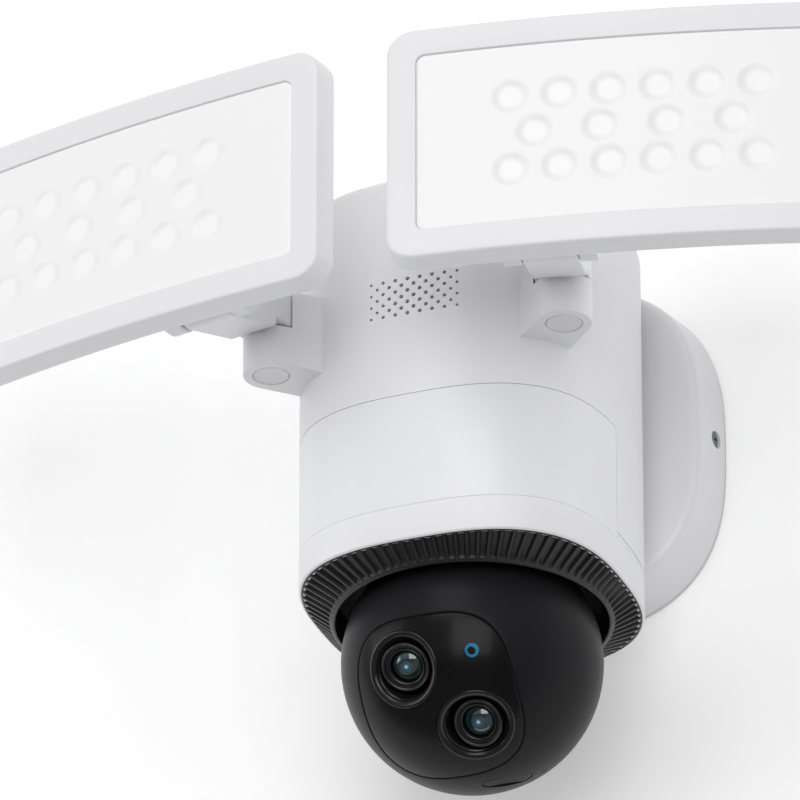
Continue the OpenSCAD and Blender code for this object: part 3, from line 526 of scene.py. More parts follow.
# Hard black lacquer on the rings round the lenses.
BLACK_LACQUER = Finish(
    "black_lacquer_ring", "bezels", "#101011", "#131314", 0.2, 0.03,
    grain=2.0, relief=0.003, values=(("IOR", 1.52), ("Specular IOR Level", 0.35)),
)
# Black anodised aluminium, finely turned, inside the lenses.
BLACK_ANODISED = Finish(
    "black_anodised_turned", "barrels", "#0D0D0E", "#111112", 0.34, 0.04,
    grain=0.4, relief=0.006, values=(("IOR", 1.6),),
)
# Multi-coated lens glass; its green-blue sheen and bright middle are painted reflections in its colour.
LENS_GLASS = PaintedReflectionGlass(
    "lens_glass_painted_reflections", "lens_glass", "#20343A", "#20343A", 0.03,
    values=(("IOR", 1.7), ("Coat Weight", 1.0), ("Coat Roughness", 0.02)),
)
# Tinted acrylic light pipe, faintly glowing.
TEAL_LIGHT_PIPE = Finish(
    "teal_light_pipe", "status_light", "#23688D", "#2A7095", 0.3, 0.02,
    values=(
        ("IOR", 1.49),
        ("Emission Color", linear("#2880AE")),
        ("Emission Strength", 0.2),
    ),
)
# Steel with a bright zinc plating, rolled: pale grey with faint lines.
ZINC_STEEL = BrushedFinish(
    "zinc_plated_steel", "steel", "#A9ABAE", "#9A9CA0", 0.34, 0.06,
    grain=0.5, relief=0.02, metallic=1.0,
)
# Stainless screws, turned and blackened a little.
SCREW_STEEL = Finish(
    "screw_steel_turned", "steel", "#77787B", "#6A6B6E", 0.36, 0.05,
    grain=0.4, relief=0.01, metallic=1.0,
)
# Die-cast aluminium: grainy pale metal.
CAST_ALUMINIUM = Finish(
    "die_cast_aluminium", "collar", "#A3A4A6", "#949597", 0.5, 0.08,
    grain=0.7, relief=0.05, metallic=1.0,
)
# Nylon of a terminal block, slightly waxy.
IVORY_NYLON = Finish("ivory_nylon", "terminals", "#E4DEC9", "#DCD5BE", 0.45, grain=0.8)
# Solder mask over glass-fibre board: glossy green.
SOLDER_MASK = Finish(
    "green_solder_mask", "circuit_boards", "#0E5A34", "#0A4A2A", 0.25, 0.05, grain=1.5, relief=0.03
)
# Paper cone and plastic basket of the speaker.
SPEAKER_BLACK = Finish(
    "speaker_paper_cone", "speaker", "#232323", "#1A1A1A", 0.7, grain=0.4, relief=0.05
)
# Dust mesh, woven from 0.3 mm polyester thread.
DUST_MESH = WovenFinish(
    "polyester_dust_mesh", "mesh", "#6E6E70", "#626264", 0.8, grain=0.6, relief=0.2
)
# Stamped brass strip.
STAMPED_BRASS = BrushedFinish(
    "stamped_brass", "antennas", "#B5A15A", "#A8924C", 0.3, grain=0.4, relief=0.01, metallic=1.0
)
# Nylon filled with glass fibre: dark grey, dull, with a faint fibre pattern.
FILLED_NYLON = Finish(
    "glass_filled_nylon", "drive_frame", "#38393B", "#303133", 0.55, 0.05, grain=0.5, relief=0.04
)
# Acetal gears, left natural: waxy off-white.
ACETAL = Finish("natural_acetal", "gears", "#E2E0D8", "#D9D7CE", 0.35, grain=0.9)
# White solder mask on an aluminium board.
WHITE_BOARD = Finish("white_coated_board", "led_boards", "#E9E9E7", "#E2E2E0", 0.4, grain=0.9)
# Phosphor under clear silicone.
PHOSPHOR = Finish("yellow_phosphor", "led_chips", "#DCC252", "#D2B548", 0.35, grain=0.5)


# ---- meshes ----


class Body(Enum):
    """The rigid bodies of the frame that pieces ride."""

    BASE = "base"
    TILT_HEAD = "tilt_head"
    LEFT_SWIVEL = "left_swivel"
    LEFT_LIGHT = "left_light"
    RIGHT_SWIVEL = "right_swivel"
    RIGHT_LIGHT = "right_light"


def squircle(
    width: float, height: float, power: float, count: int = 240
) -> list[tuple[float, float]]:
    """Points of a rounded square, at even angles.

    Args:
        width: Full width in millimetres.
        height: Full height in millimetres.
        power: 2 gives an ellipse, more gives squarer corners.
        count: Number of points.

    Returns:
        The points, counter-clockwise from the +X side.
    """
    points = []
    for i in range(count):
        angle = math.tau * i / count
        c, s = math.cos(angle), math.sin(angle)
        radius = (abs(2 * c / width) ** power + abs(2 * s / height) ** power) ** (-1 / power)
        points.append((radius * c, radius * s))
    return points


def quarter(radius: float, steps: int) -> list[tuple[float, float]]:
    """A quarter circle as (inset, rise) pairs, from no inset to no more rise.

    Args:
        radius: Radius of the rounding in millimetres.
        steps: Number of spans.

    Returns:
        Inset from the side and rise above the rounding's start, at each step.
    """
    angles = [math.pi / 2 * i / steps for i in range(steps + 1)]
    return [(radius * (1 - math.cos(a)), radius * math.sin(a)) for a in angles]


class Form:
    """A mesh under construction, in millimetres."""

    def __init__(self) -> None:
        """Start with nothing."""
        self.mesh = bmesh.new()

    def ring(self, points: Iterable[Sequence[float]]) -> list[bmesh.types.BMVert]:
        """Add a row of vertices at these points."""
        return [self.mesh.verts.new(p) for p in points]

    def bridge(
        self,
        first: Sequence[bmesh.types.BMVert],
        second: Sequence[bmesh.types.BMVert],
        closed: bool = True,
    ) -> None:
        """Join two rows of equal length with four-sided faces.

        Args:
            first: One row.
            second: The other row.
            closed: Whether each row is a loop.
        """
        count = len(first)
        for i in range(count if closed else count - 1):
            j = (i + 1) % count
            self.mesh.faces.new((first[i], first[j], second[j], second[i]))

    def loft(
        self,
        sections: Sequence[Sequence[Sequence[float]]],
        start: bool = True,
        end: bool = True,
    ) -> list[list[bmesh.types.BMVert]]:
        """Skin a row of closed sections.

        Args:
            sections: Loops of points, all of one length.
            start: Whether the first section is closed with a face.
            end: Whether the last section is closed with a face.

        Returns:
            The vertices of each section.
        """
        rings = [self.ring(section) for section in sections]
        for first, second in zip(rings, rings[1:]):
            self.bridge(first, second)
        if start:
            self.mesh.faces.new(rings[0][::-1])
        if end:
            self.mesh.faces.new(rings[-1])
        return rings

    def turn(
        self,
        profile: Sequence[tuple[float, float]],
        steps: int = 96,
        placement: Matrix | None = None,
    ) -> "Form":
        """Turn a profile about +Z, or about +Z of a placement.

        Args:
            profile: Radius and height of each point; an end on the axis closes there.
            steps: Number of spans round.
            placement: Where the turned shape stands.

        Returns:
            This form.
        """
        where = placement or Matrix()
        rings: list[list[bmesh.types.BMVert]] = []
        for radius, height in profile:
            if radius < 1e-6:
                rings.append([self.mesh.verts.new(where @ Vector((0, 0, height)))])
                continue
            rings.append(
                self.ring(
                    where
                    @ Vector(
                        (
                            radius * math.cos(math.tau * i / steps),
                            radius * math.sin(math.tau * i / steps),
                            height,
                        )
                    )
                    for i in range(steps)
                )
            )
        for first, second in zip(rings, rings[1:]):
            if len(first) == 1:
                for i in range(steps):
                    self.mesh.faces.new((first[0], second[i], second[(i + 1) % steps]))
            elif len(second) == 1:
                for i in range(steps):
                    self.mesh.faces.new((first[(i + 1) % steps], first[i], second[0]))
            else:
                self.bridge(first, second)
        for ring in (rings[0], rings[-1]):
            if len(ring) > 1:
                self.mesh.faces.new(ring)
        return self

    def prism(
        self,
        outline: Sequence[tuple[float, float]],
        low: float,
        high: float,
        placement: Matrix | None = None,
    ) -> "Form":
        """Stand an outline up between two heights of a placement.

        Args:
            outline: Points in the placement's XY plane.
            low: Height of one end.
            high: Height of the other end.
            placement: Where the prism stands.

        Returns:
            This form.
        """
        where = placement or Matrix()
        self.loft([[where @ Vector((x, y, z)) for x, y in outline] for z in (low, high)])
        return self

    def block(self, low: Point, high: Point, placement: Matrix | None = None) -> "Form":
        """Add a block between two corners of a placement.

        Args:
            low: Lowest corner.
            high: Highest corner.
            placement: Frame of the corners.

        Returns:
            This form.
        """
        outline = [(low[0], low[1]), (high[0], low[1]), (high[0], high[1]), (low[0], high[1])]
        return self.prism(outline, low[2], high[2], placement)

    def as_object(self, name: str, smooth: float = 38.0) -> bpy.types.Object:
        """Turn the form into an object in metres.

        Args:
            name: Name of the object.
            smooth: Edges sharper than this many degrees stay crisp.

        Returns:
            The linked object, without a finish.
        """
        bmesh.ops.scale(self.mesh, vec=(MM, MM, MM), verts=self.mesh.verts)
        bmesh.ops.recalc_face_normals(self.mesh, faces=self.mesh.faces)
        data = bpy.data.meshes.new(name)
        self.mesh.to_mesh(data)
        self.mesh.free()
        data.shade_smooth()
        data.set_sharp_from_angle(angle=math.radians(smooth))
        thing = bpy.data.objects.new(name, data)
        bpy.context.scene.collection.objects.link(thing)
        return thing


def carve(thing: bpy.types.Object, tools: Sequence[Form], smooth: float = 38.0) -> bpy.types.Object:
    """Cut forms out of an object for good.

    Args:
        thing: The object that is cut.
        tools: Closed forms in the same frame.
        smooth: Edges sharper than this many degrees stay crisp.

    Returns:
        The same object.
    """
    for tool in tools:
        knife = tool.as_object("carving_tool")
        knife.matrix_world = thing.matrix_world
        modifier = thing.modifiers.new("carve", "BOOLEAN")
        modifier.operation = "DIFFERENCE"
        modifier.solver = "EXACT"
        modifier.object = knife
        bpy.context.view_layer.update()
        view = bpy.context.evaluated_depsgraph_get()
        data = bpy.data.meshes.new_from_object(thing.evaluated_get(view))
        thing.modifiers.clear()
        thing.data = data
        bpy.data.objects.remove(knife)
    thing.data.shade_smooth()
    thing.data.set_sharp_from_angle(angle=math.radians(smooth))
    return thing


def soften(
    thing: bpy.types.Object, width: float, segments: int = 3, angle: float = 34.0
) -> bpy.types.Object:
    """Round an object's sharp edges.

    Args:
        thing: The object.
        width: Width of the rounding in millimetres.
        segments: Number of spans across the rounding.
        angle: Edges sharper than this many degrees are rounded.

    Returns:
        The same object.
    """
    bevel = thing.modifiers.new("rounded_edges", "BEVEL")
    bevel.width = width * MM
    bevel.segments = segments
    bevel.limit_method = "ANGLE"
    bevel.angle_limit = math.radians(angle)
    bevel.harden_normals = True
    return thing


def aim_normals(
    thing: bpy.types.Object, surfaces: Sequence[tuple[Vector, float]], slack: float = 0.02
) -> None:
    """Shade the faces that lie on a sphere as that sphere, and leave the rest.

    Args:
        thing: The object.
        surfaces: Centre and radius of each sphere in the object's frame, in millimetres.
        slack: How far a vertex may be off a sphere, in millimetres.
    """
    data = thing.data
    normals = [corner.vector.copy() for corner in data.corner_normals]
    for face in data.polygons:
        home = next(
            (
                centre
                for centre, radius in surfaces
                if all(
                    abs((data.vertices[v].co / MM - centre).length - radius) < slack
                    for v in face.vertices
                )
            ),
            None,
        )
        for loop in face.loop_indices:
            if home is not None:
                out = (data.vertices[data.loops[loop].vertex_index].co / MM - home).normalized()
                normals[loop] = out if out.dot(face.normal) > 0 else -out
    data.normals_split_custom_set(normals)


def fit_out(
    thing: bpy.types.Object,
    finish: Finish,
    body: Body,
    stands_for: Sequence[str] = (),
    placement: Matrix | None = None,
    baked: bool = False,
) -> bpy.types.Object:
    """Place, finish and attach a piece, and report it.

    Args:
        thing: The piece.
        finish: Its finish.
        body: The body it rides.
        stands_for: CAD nodes that it stands for.
        placement: Its frame, in millimetres.
        baked: Whether the vertices move rather than the object, so that its
            bounds stay tight.

    Returns:
        The piece.
    """
    thing.data.materials.clear()
    thing.data.materials.append(finish.material())
    if placement is not None:
        where = placement.copy()
        where.translation = where.translation * MM
        if baked:
            thing.data.transform(where)
        else:
            thing.matrix_world = where
    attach(thing, body.value)
    if stands_for:
        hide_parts(*stands_for)
    LOG.info("%s: %d faces in %s", thing.name, len(thing.data.polygons), finish.label)
    return thing


# ---- wall plate ----


@dataclass
class WallPlate:
    """The shallow dish on the wall, with its two side screws."""

    width: float = 138.0
    height: float = 129.6
    power: float = 2.9
    back: float = 2.0
    front: float = 21.5
    edge: float = 2.8
    taper: float = 2.5
    wall: float = 2.4
    screw_out: float = 8.5
    screw_r: float = 2.8

    def section(self, inset: float, out: float) -> list[Point]:
        """The plate's outline, drawn in by inset, this far out of the wall."""
        inset += self.lean(out)
        outline = squircle(self.width - 2 * inset, self.height - 2 * inset, self.power)
        return [(x, -out, z) for x, z in outline]

    def lean(self, out: float) -> float:
        """How far the side has leant in, this far out of the wall."""
        share = (out - self.back) / (self.front - self.edge - self.back)
        return self.taper * min(max(share, 0.0), 1.0)

    def dish(self) -> bpy.types.Object:
        """Build the dish: hollow, open towards the wall, with a rounded front edge.

        Returns:
            The dish.
        """
        form = Form()
        inner = self.front - self.wall
        sections = [
            self.section(self.wall + 2.2, inner),
            self.section(self.wall + 0.6, inner - 0.6),
        ]
        sections += [self.section(self.wall, inner - 2.2), self.section(self.wall, self.back + 0.4)]
        sections += [self.section(self.wall - 0.4, self.back), self.section(0.5, self.back)]
        sections += [self.section(0.15, self.back + 0.15), self.section(0.0, self.back + 0.5)]
        start = self.front - self.edge
        sections += [self.section(0.0, start - 0.01)]
        sections += [self.section(i, start + rise) for i, rise in quarter(self.edge, 10)]
        sections += [self.section(self.edge + 1.5, self.front)]
        form.loft(sections)
        dish = form.as_object("wall_dish")
        wells = []
        for side in (-1, 1):
            sideways = Matrix.Rotation(side * math.pi / 2, 4, "Y")
            along = Matrix.Translation((0, -self.screw_out, 0)) @ sideways
            edge = self.width / 2 - self.lean(self.screw_out)
            wells.append(Form().turn([(3.2, edge - 1.2), (3.2, edge + 2)], 64, along))
        return carve(dish, wells)

    def screws(self) -> bpy.types.Object:
        """Build both side screws with their cross recess.

        Returns:
            The screws as one object.
        """
        form = Form()
        tools = []
        face = self.width / 2 - self.lean(self.screw_out) - 0.2
        for side in (-1, 1):
            sideways = Matrix.Rotation(side * math.pi / 2, 4, "Y")
            along = Matrix.Translation((0, -self.screw_out, 0)) @ sideways
            r = self.screw_r
            form.turn(
                [(0, face - 6), (1.4, face - 6), (1.5, face - 1.0), (r, face - 1.0),
                 (r, face - 0.5), (r - 0.3, face - 0.2), (r - 0.9, face - 0.02), (0, face)],
                64, along,
            )
            for turned in (0.0, math.pi / 2):
                spin = along @ Matrix.Rotation(turned + 0.3, 4, "Z")
                tools.append(Form().block((-1.7, -0.33, face - 0.75), (1.7, 0.33, face + 1), spin))
        return soften(carve(form.as_object("plate_screws"), tools), 0.06, 2)

    def build(self) -> None:
        """Make the plate's pieces."""
        fit_out(self.dish(), WHITE_POLYCARBONATE, Body.BASE, ["wall_plate"])
        fit_out(self.screws(), SCREW_STEEL, Body.BASE, ["side_screws"])


# ---- column ----


@dataclass
class Column:
    """The housing with its sensor window and speaker grille."""

    width: float = 110.6
    depth: float = 112.4
    power: float = 2.75
    wall: float = 2.6
    axis_out: float = 68.4
    rim_z: float = -81.0
    top_z: float = 59.0
    top_edge: float = 4.5
    back_out: float = 21.8
    shelf_z: float = -65.6
    window_low: float = -68.5
    window_high: float = -26.2
    window_angle: float = 82.0
    window_t: float = 1.1
    grille_z: float = 11.4
    grille_columns: int = 15
    grille_pitch: tuple[float, float] = (2.22, 4.4)
    grille_hole_r: float = 0.75
    points: int = 288

    def section(self, inset: float, z: float, cut_out: float | None) -> list[Point]:
        """The column's outline at one height.

        Args:
            inset: How far it is drawn in.
            z: The height.
            cut_out: Distance from the wall of the flat back, or None where it's round.

        Returns:
            The section's points.
        """
        outline = squircle(self.width - 2 * inset, self.depth - 2 * inset, self.power, self.points)
        limit = math.inf if cut_out is None else -cut_out
        return [(x, min(y - self.axis_out, limit), z) for x, y in outline]

    def shell(self) -> bpy.types.Object:
        """Build the housing, hollow and open below.

        Returns:
            The housing.
        """
        inner_back = self.back_out + self.wall
        ceiling = self.top_z - self.top_edge
        step = self.shelf_z - self.wall
        sections = [
            self.section(self.wall, ceiling, inner_back),
            self.section(self.wall, step, inner_back),
            self.section(self.wall, step, None),
            self.section(self.wall, self.rim_z + 0.5, None),
            self.section(self.wall - 0.5, self.rim_z, None),
            self.section(0.9, self.rim_z, None),
            self.section(0.45, self.rim_z + 0.12, None),
            self.section(0.12, self.rim_z + 0.45, None),
            self.section(0.0, self.rim_z + 0.9, None),
            self.section(0.0, self.shelf_z - 0.6, None),
            self.section(0.2, self.shelf_z - 0.15, None),
            self.section(0.6, self.shelf_z, None),
            self.section(0.0, self.shelf_z, self.back_out),
        ]
        sections += [
            self.section(inset, self.top_z - self.top_edge + rise, self.back_out + inset)
            for inset, rise in quarter(self.top_edge, 12)
        ]
        middle = self.top_edge + 3
        sections.append(self.section(middle, self.top_z, self.back_out + middle))
        form = Form()
        form.loft(sections)
        tools = [self.band(-2.0, 1.4, 0.08), self.grille_tool()]
        return carve(form.as_object("column_housing"), tools)

    def band(self, outer: float, inner: float, spare: float) -> Form:
        """A slice of the column's wall, where the sensor window lies.

        Args:
            outer: Inset of its outside.
            inner: Inset of its inside.
            spare: How much larger it is all round than the window.

        Returns:
            The closed form.
        """
        form = Form()
        count = 150
        reach = math.radians(self.window_angle) + spare / (self.width / 2)
        rows: list[list[Point]] = []
        low, high = self.window_low - spare, self.window_high + spare
        for inset, z in ((outer, low), (outer, high), (inner, high), (inner, low)):
            w, d = self.width - 2 * inset, self.depth - 2 * inset
            row = []
            for i in range(count + 1):
                a = -math.pi / 2 + reach * (2 * i / count - 1)
                c, s = math.cos(a), math.sin(a)
                n = self.power
                r = (abs(2 * c / w) ** n + abs(2 * s / d) ** n) ** (-1 / n)
                row.append((r * c, r * s - self.axis_out, z))
            rows.append(row)
        rings = [form.ring(row) for row in rows]
        for first, second in zip(rings, rings[1:] + rings[:1]):
            form.bridge(first, second, closed=False)
        for i in (0, -1):
            form.mesh.faces.new([ring[i] for ring in rings])
        return form

    def grille_tool(self) -> Form:
        """The speaker holes, smaller towards both sides.

        Returns:
            One closed form for each hole, together.
        """
        form = Form()
        half = (self.grille_columns - 1) // 2
        outward = Matrix.Translation((0, -self.axis_out, 0)) @ Matrix.Rotation(math.pi / 2, 4, "X")
        front = self.depth / 2
        for i in range(-half, half + 1):
            count = 4 if (i + half) % 2 == 0 else 3
            radius = self.grille_hole_r * (1 - 0.3 * (i / half) ** 2)
            for k in range(count):
                x = i * self.grille_pitch[0]
                z = self.grille_z + (k - (count - 1) / 2) * self.grille_pitch[1]
                form.turn(
                    [(radius, front - 5.5), (radius, front + 1)],
                    16, outward @ Matrix.Translation((x, z, 0)),
                )
        return form

    def build(self) -> None:
        """Make the housing and its window."""
        fit_out(self.shell(), WHITE_POLYCARBONATE, Body.BASE, ["housing", "rear_cover"])
        window = soften(self.band(0.0, self.window_t, 0.0).as_object("heat_window"), 0.35)
        fit_out(window, MILKY_POLYETHYLENE, Body.BASE, ["sensor_window"])


# ---- ribbed ring ----


@dataclass
class RibbedRing:
    """The funnel round the ball, with its radial grooves."""

    column: Column
    hole_r: float = 46.4
    drop: float = 6.0
    inset: float = 0.8
    lip: float = 1.3
    grooves: int = 90
    groove_depth: float = 1.3
    steps: int = 12

    def build(self) -> None:
        """Loft the funnel with its grooves cut into the slope."""
        c = self.column
        count = self.grooves * self.steps
        outline = squircle(c.width - 2 * self.inset, c.depth - 2 * self.inset, c.power, count)
        spigot = squircle(c.width - 2 * c.wall - 0.2, c.depth - 2 * c.wall - 0.2, c.power, count)
        inner = self.hole_r + self.lip
        # How deep a groove is at each step across one rib
        across = (0.0, 0.0, 0.0, 0.0, 0.5, 1.0, 1.0, 1.0, 1.0, 1.0, 1.0, 0.5)

        def slope(share: float, cut: float) -> list[Point]:
            """Points this share of the way down the funnel, with grooves cut this deep."""
            row = []
            for i, (x, y) in enumerate(outline):
                outer = math.hypot(x, y)
                r = outer + (inner - outer) * share
                z = c.rim_z - self.drop * share + self.groove_depth * cut * across[i % self.steps]
                row.append((x * r / outer, y * r / outer - c.axis_out, z))
            return row

        def circle(radius: float, z: float) -> list[Point]:
            """A round row of the ring's hole."""
            return [
                (
                    radius * math.cos(math.tau * i / count),
                    radius * math.sin(math.tau * i / count) - c.axis_out,
                    z,
                )
                for i in range(count)
            ]

        form = Form()
        top = c.rim_z + 4.9
        low = c.rim_z - self.drop
        sections = [[(x, y - c.axis_out, z) for x, y in spigot] for z in (top, c.rim_z + 0.05)]
        sections += [[(x, y - c.axis_out, c.rim_z) for x, y in outline]]
        # Share of the way down the slope, and how deep the grooves are there
        slopes = (
            (0.02, 0.0), (0.05, 0.0), (0.09, 1.0), (0.4, 1.0), (0.8, 1.0), (0.9, 0.6), (0.93, 0.0),
            (0.985, 0.0),
        )
        sections += [slope(share, groove) for share, groove in slopes]
        lips = ((1.0, -0.3), (0.5, -0.42), (0.15, -0.25), (0.0, 0.1))
        sections += [circle(self.hole_r + e, low + z) for e, z in lips]
        sections += [circle(self.hole_r, top)]
        rings = form.loft(sections, False, False)
        form.bridge(rings[-1], rings[0])
        ring = form.as_object("ribbed_ring", 32.0)
        fit_out(ring, RIB_ABS, Body.BASE, ["camera_ring"])


# ---- ball camera ----


@dataclass
class BallCamera:
    """The tilting ball with its face, lenses, light and card slot."""

    radius: float = 44.5
    centre: Point = (0.0, -68.4, -102.4)
    tilt: float = 41.0
    shell: float = 2.2
    face_w: float = 55.9
    face_h: float = 57.7
    face_shift: tuple[float, float] = (-2.4, -1.2)
    face_power: float = 2.9
    face_gap: float = 0.25
    lip: float = 0.85
    dome_r: float = 44.4
    face_front: float = 44.4
    bezel_r: float = 13.2
    cant: float = 19.0
    lens_places: dict[str, tuple[float, float]] = field(
        default_factory=lambda: {"wide": (-10.6, 11.4), "tele": (9.5, -11.4)}
    )
    status_place: tuple[float, float] = (14.1, 13.9)
    slot_half_w: float = 7.3
    slot_spread: float = 59.0
    under_turn: float = 125.0
    card_tilt: float = 74.0
    button_tilt: float = 56.0

    def ball_frame(self) -> Matrix:
        """Frame at the ball's centre, in millimetres."""
        return Matrix.Translation(self.centre)

    def face_frame(self) -> Matrix:
        """Frame of the face: X right, Z up the face, -Y out of it."""
        return self.ball_frame() @ Matrix.Rotation(math.radians(self.tilt), 4, "X")

    def dome_depth(self, away: float) -> float:
        """How far the face's dome is in front of the centre, this far off its middle."""
        return self.face_front - self.dome_r + math.sqrt(self.dome_r**2 - away**2)

    def edge_angle(self, x: float, z: float) -> float:
        """Angle off the face's axis at which a point of the face's outline meets the ball."""
        return math.asin(min(math.hypot(x, z) / self.radius, 0.999))

    def face_outline(self, inset: float, count: int) -> list[tuple[float, float]]:
        """The face's outline about the ball's axis, drawn in by inset."""
        u, v = self.face_shift
        outline = squircle(self.face_w - 2 * inset, self.face_h - 2 * inset, self.face_power, count)
        return [(x + u, z + v) for x, z in outline]

    def shell_piece(self) -> bpy.types.Object:
        """Build the ball as clean rings from the face's edge round to the back.

        Returns:
            The ball in the face's frame.
        """
        count = 192
        outline = self.face_outline(0.0, count)
        turns = [math.atan2(z, x) for x, z in outline]
        edges = [self.edge_angle(x, z) for x, z in outline]

        def row(radius: float, angles: Sequence[float]) -> list[Point]:
            """Points on a sphere at these angles off the axis."""
            return [
                (
                    radius * math.sin(a) * math.cos(t),
                    -radius * math.cos(a),
                    radius * math.sin(a) * math.sin(t),
                )
                for a, t in zip(angles, turns)
            ]

        form = Form()
        r = self.radius
        inner = r - self.shell
        sections = [row(inner, [e + 0.03 for e in edges])]
        # The lip round the face is rounded by nearly a millimetre
        lips = ((0.0, 2.0), (0.0, 0.8), (0.09, 0.42), (0.29, 0.14), (0.55, 0.03), (self.lip, 0.0))
        for back, drop in lips:
            sections.append(row(r - drop, [e + back / r for e in edges]))
        lip = self.lip / r
        spans = 72
        for i in range(1, spans):
            share = i / spans
            sections.append(
                row(r, [e + lip + (math.pi - 0.02 - e - lip) * share for e in edges])
            )
        outer = form.loft(sections, False, False)
        tip = form.mesh.verts.new((0, r, 0))
        last = outer[-1]
        for i in range(count):
            form.mesh.faces.new((last[i], last[(i + 1) % count], tip))
        rings = [
            form.ring(row(inner, [e + 0.03 + (math.pi - 0.05 - e) * i / 24 for e in edges]))
            for i in range(1, 24)
        ]
        chain = [outer[0], *rings]
        for first, second in zip(chain, chain[1:]):
            form.bridge(first, second)
        hub = form.mesh.verts.new((0, inner, 0))
        for i in range(count):
            form.mesh.faces.new((chain[-1][(i + 1) % count], chain[-1][i], hub))
        ball = form.as_object("ball_shell_black")
        carve(ball, [self.slot_tool(), self.card_outline(0.15).tool(), self.button_tool()])
        aim_normals(ball, [(Vector((0, 0, 0)), r), (Vector((0, 0, 0)), inner)])
        return ball

    def slot_tool(self) -> Form:
        """The wedge that the neck passes through as the ball tilts.

        Returns:
            The closed form in the face's frame.
        """
        reach = 2 * self.radius
        points = [(0.0, 0.0)]
        middle = 90 + self.tilt
        for i in range(9):
            a = math.radians(middle - self.slot_spread + self.slot_spread * i / 4)
            points.append((reach * math.cos(a), reach * math.sin(a)))
        # Outline in the plane of the tilt; the placement turns it to lie along X
        upright = Matrix(((0, 0, 1, 0), (-1, 0, 0, 0), (0, 1, 0, 0), (0, 0, 0, 1)))
        return Form().prism(points, -self.slot_half_w, self.slot_half_w, upright)

    def under_frame(self, tilt: float) -> Matrix:
        """Frame of a place under the ball, given in the face's frame.

        Args:
            tilt: Angle below the horizon.

        Returns:
            The frame, with -Y out of the ball.
        """
        back = Matrix.Rotation(-math.radians(self.tilt), 4, "X")
        turned = Matrix.Rotation(math.radians(self.under_turn), 4, "Z")
        return back @ turned @ Matrix.Rotation(math.radians(tilt), 4, "X")

    def card_outline(self, grow: float) -> "CardSlot":
        """The card slot's outline, this much larger all round."""
        return CardSlot(self.under_frame(self.card_tilt), self.radius, grow)

    def button_tool(self) -> Form:
        """The hole of the reset button."""
        out = self.under_frame(self.button_tilt) @ Matrix.Rotation(math.pi / 2, 4, "X")
        return Form().turn([(1.25, self.radius - 4), (1.25, self.radius + 2)], 40, out)

    def face_piece(self) -> bpy.types.Object:
        """Build the domed face with its openings.

        Returns:
            The face in its own frame.
        """
        form = Form()
        count = 192
        outline = self.face_outline(self.face_gap, count)
        u, v = self.face_shift

        def row(share: float, inset: float, sink: float) -> list[Point]:
            """Points on the dome at a share of the outline, drawn in and sunk."""
            points = []
            for x, z in outline:
                r = math.hypot(x - u, z - v)
                k = share * (r - inset) / r
                place = (u + (x - u) * k, v + (z - v) * k)
                points.append((place[0], -self.dome_depth(math.hypot(*place)) + sink, place[1]))
            return points

        sections = [row(1.0, 1.6, 2.4), row(1.0, 0.0, 2.4), row(1.0, 0.0, 0.5)]
        edge = ((0.05, 0.26), (0.18, 0.09), (0.38, 0.015), (0.6, 0.0))
        sections += [row(1.0, inset, sink) for inset, sink in edge]
        sections += [row(1 - i / 26, 0.6, 0.0) for i in range(1, 26)]
        rings = form.loft(sections, False, False)
        front = -self.dome_depth(math.hypot(u, v))
        middle = form.mesh.verts.new((u, front, v))
        for i in range(count):
            form.mesh.faces.new((rings[-1][i], rings[-1][(i + 1) % count], middle))
        under = [row(1 - i / 8, 1.6, 2.4) for i in range(1, 8)]
        chain = [rings[0], *[form.ring(u) for u in under]]
        for first, second in zip(chain, chain[1:]):
            form.bridge(first, second)
        hub = form.mesh.verts.new((u, front + 2.4, v))
        for i in range(count):
            form.mesh.faces.new((chain[-1][(i + 1) % count], chain[-1][i], hub))
        face = form.as_object("face_glossy")
        bore = self.bezel_r + 0.08
        tools = [
            Form().turn([(bore, -8), (bore, 6)], 128, self.bezel_frame(name, False))
            for name in self.lens_places
        ]
        x, z = self.status_place
        hole = Matrix.Translation((x, 0, z)) @ Matrix.Rotation(math.pi / 2, 4, "X")
        tools.append(Form().turn([(2.46, 30), (2.46, 50)], 64, hole))
        carve(face, tools)
        aim_normals(
            face,
            [
                (Vector((0, -(self.face_front - self.dome_r), 0)), self.dome_r),
            ],
        )
        return face

    def lens_front(self) -> float:
        """Distance of a bezel's middle in front of the ball's centre."""
        away = math.hypot(*self.lens_places["wide"])
        sag = self.dome_r - math.sqrt(self.dome_r**2 - self.bezel_r**2)
        return self.dome_depth(away) - sag

    def bezel_frame(self, name: str, canted: bool) -> Matrix:
        """Frame of a lens in the face's frame, with +Z out of it.

        Args:
            name: Which lens.
            canted: Unused for the lens itself; the bezel leans with the dome.

        Returns:
            The frame, in millimetres.
        """
        x, z = self.lens_places[name]
        away = math.atan2(z, x)
        lean = (
            Matrix.Rotation(-away, 4, "Y")
            @ Matrix.Rotation(math.radians(self.cant), 4, "Z")
            @ Matrix.Rotation(away, 4, "Y")
        )
        out = Matrix.Rotation(math.pi / 2, 4, "X")
        place = Matrix.Translation((x, -self.lens_front(), z))
        return place @ (Matrix() if canted else lean) @ out

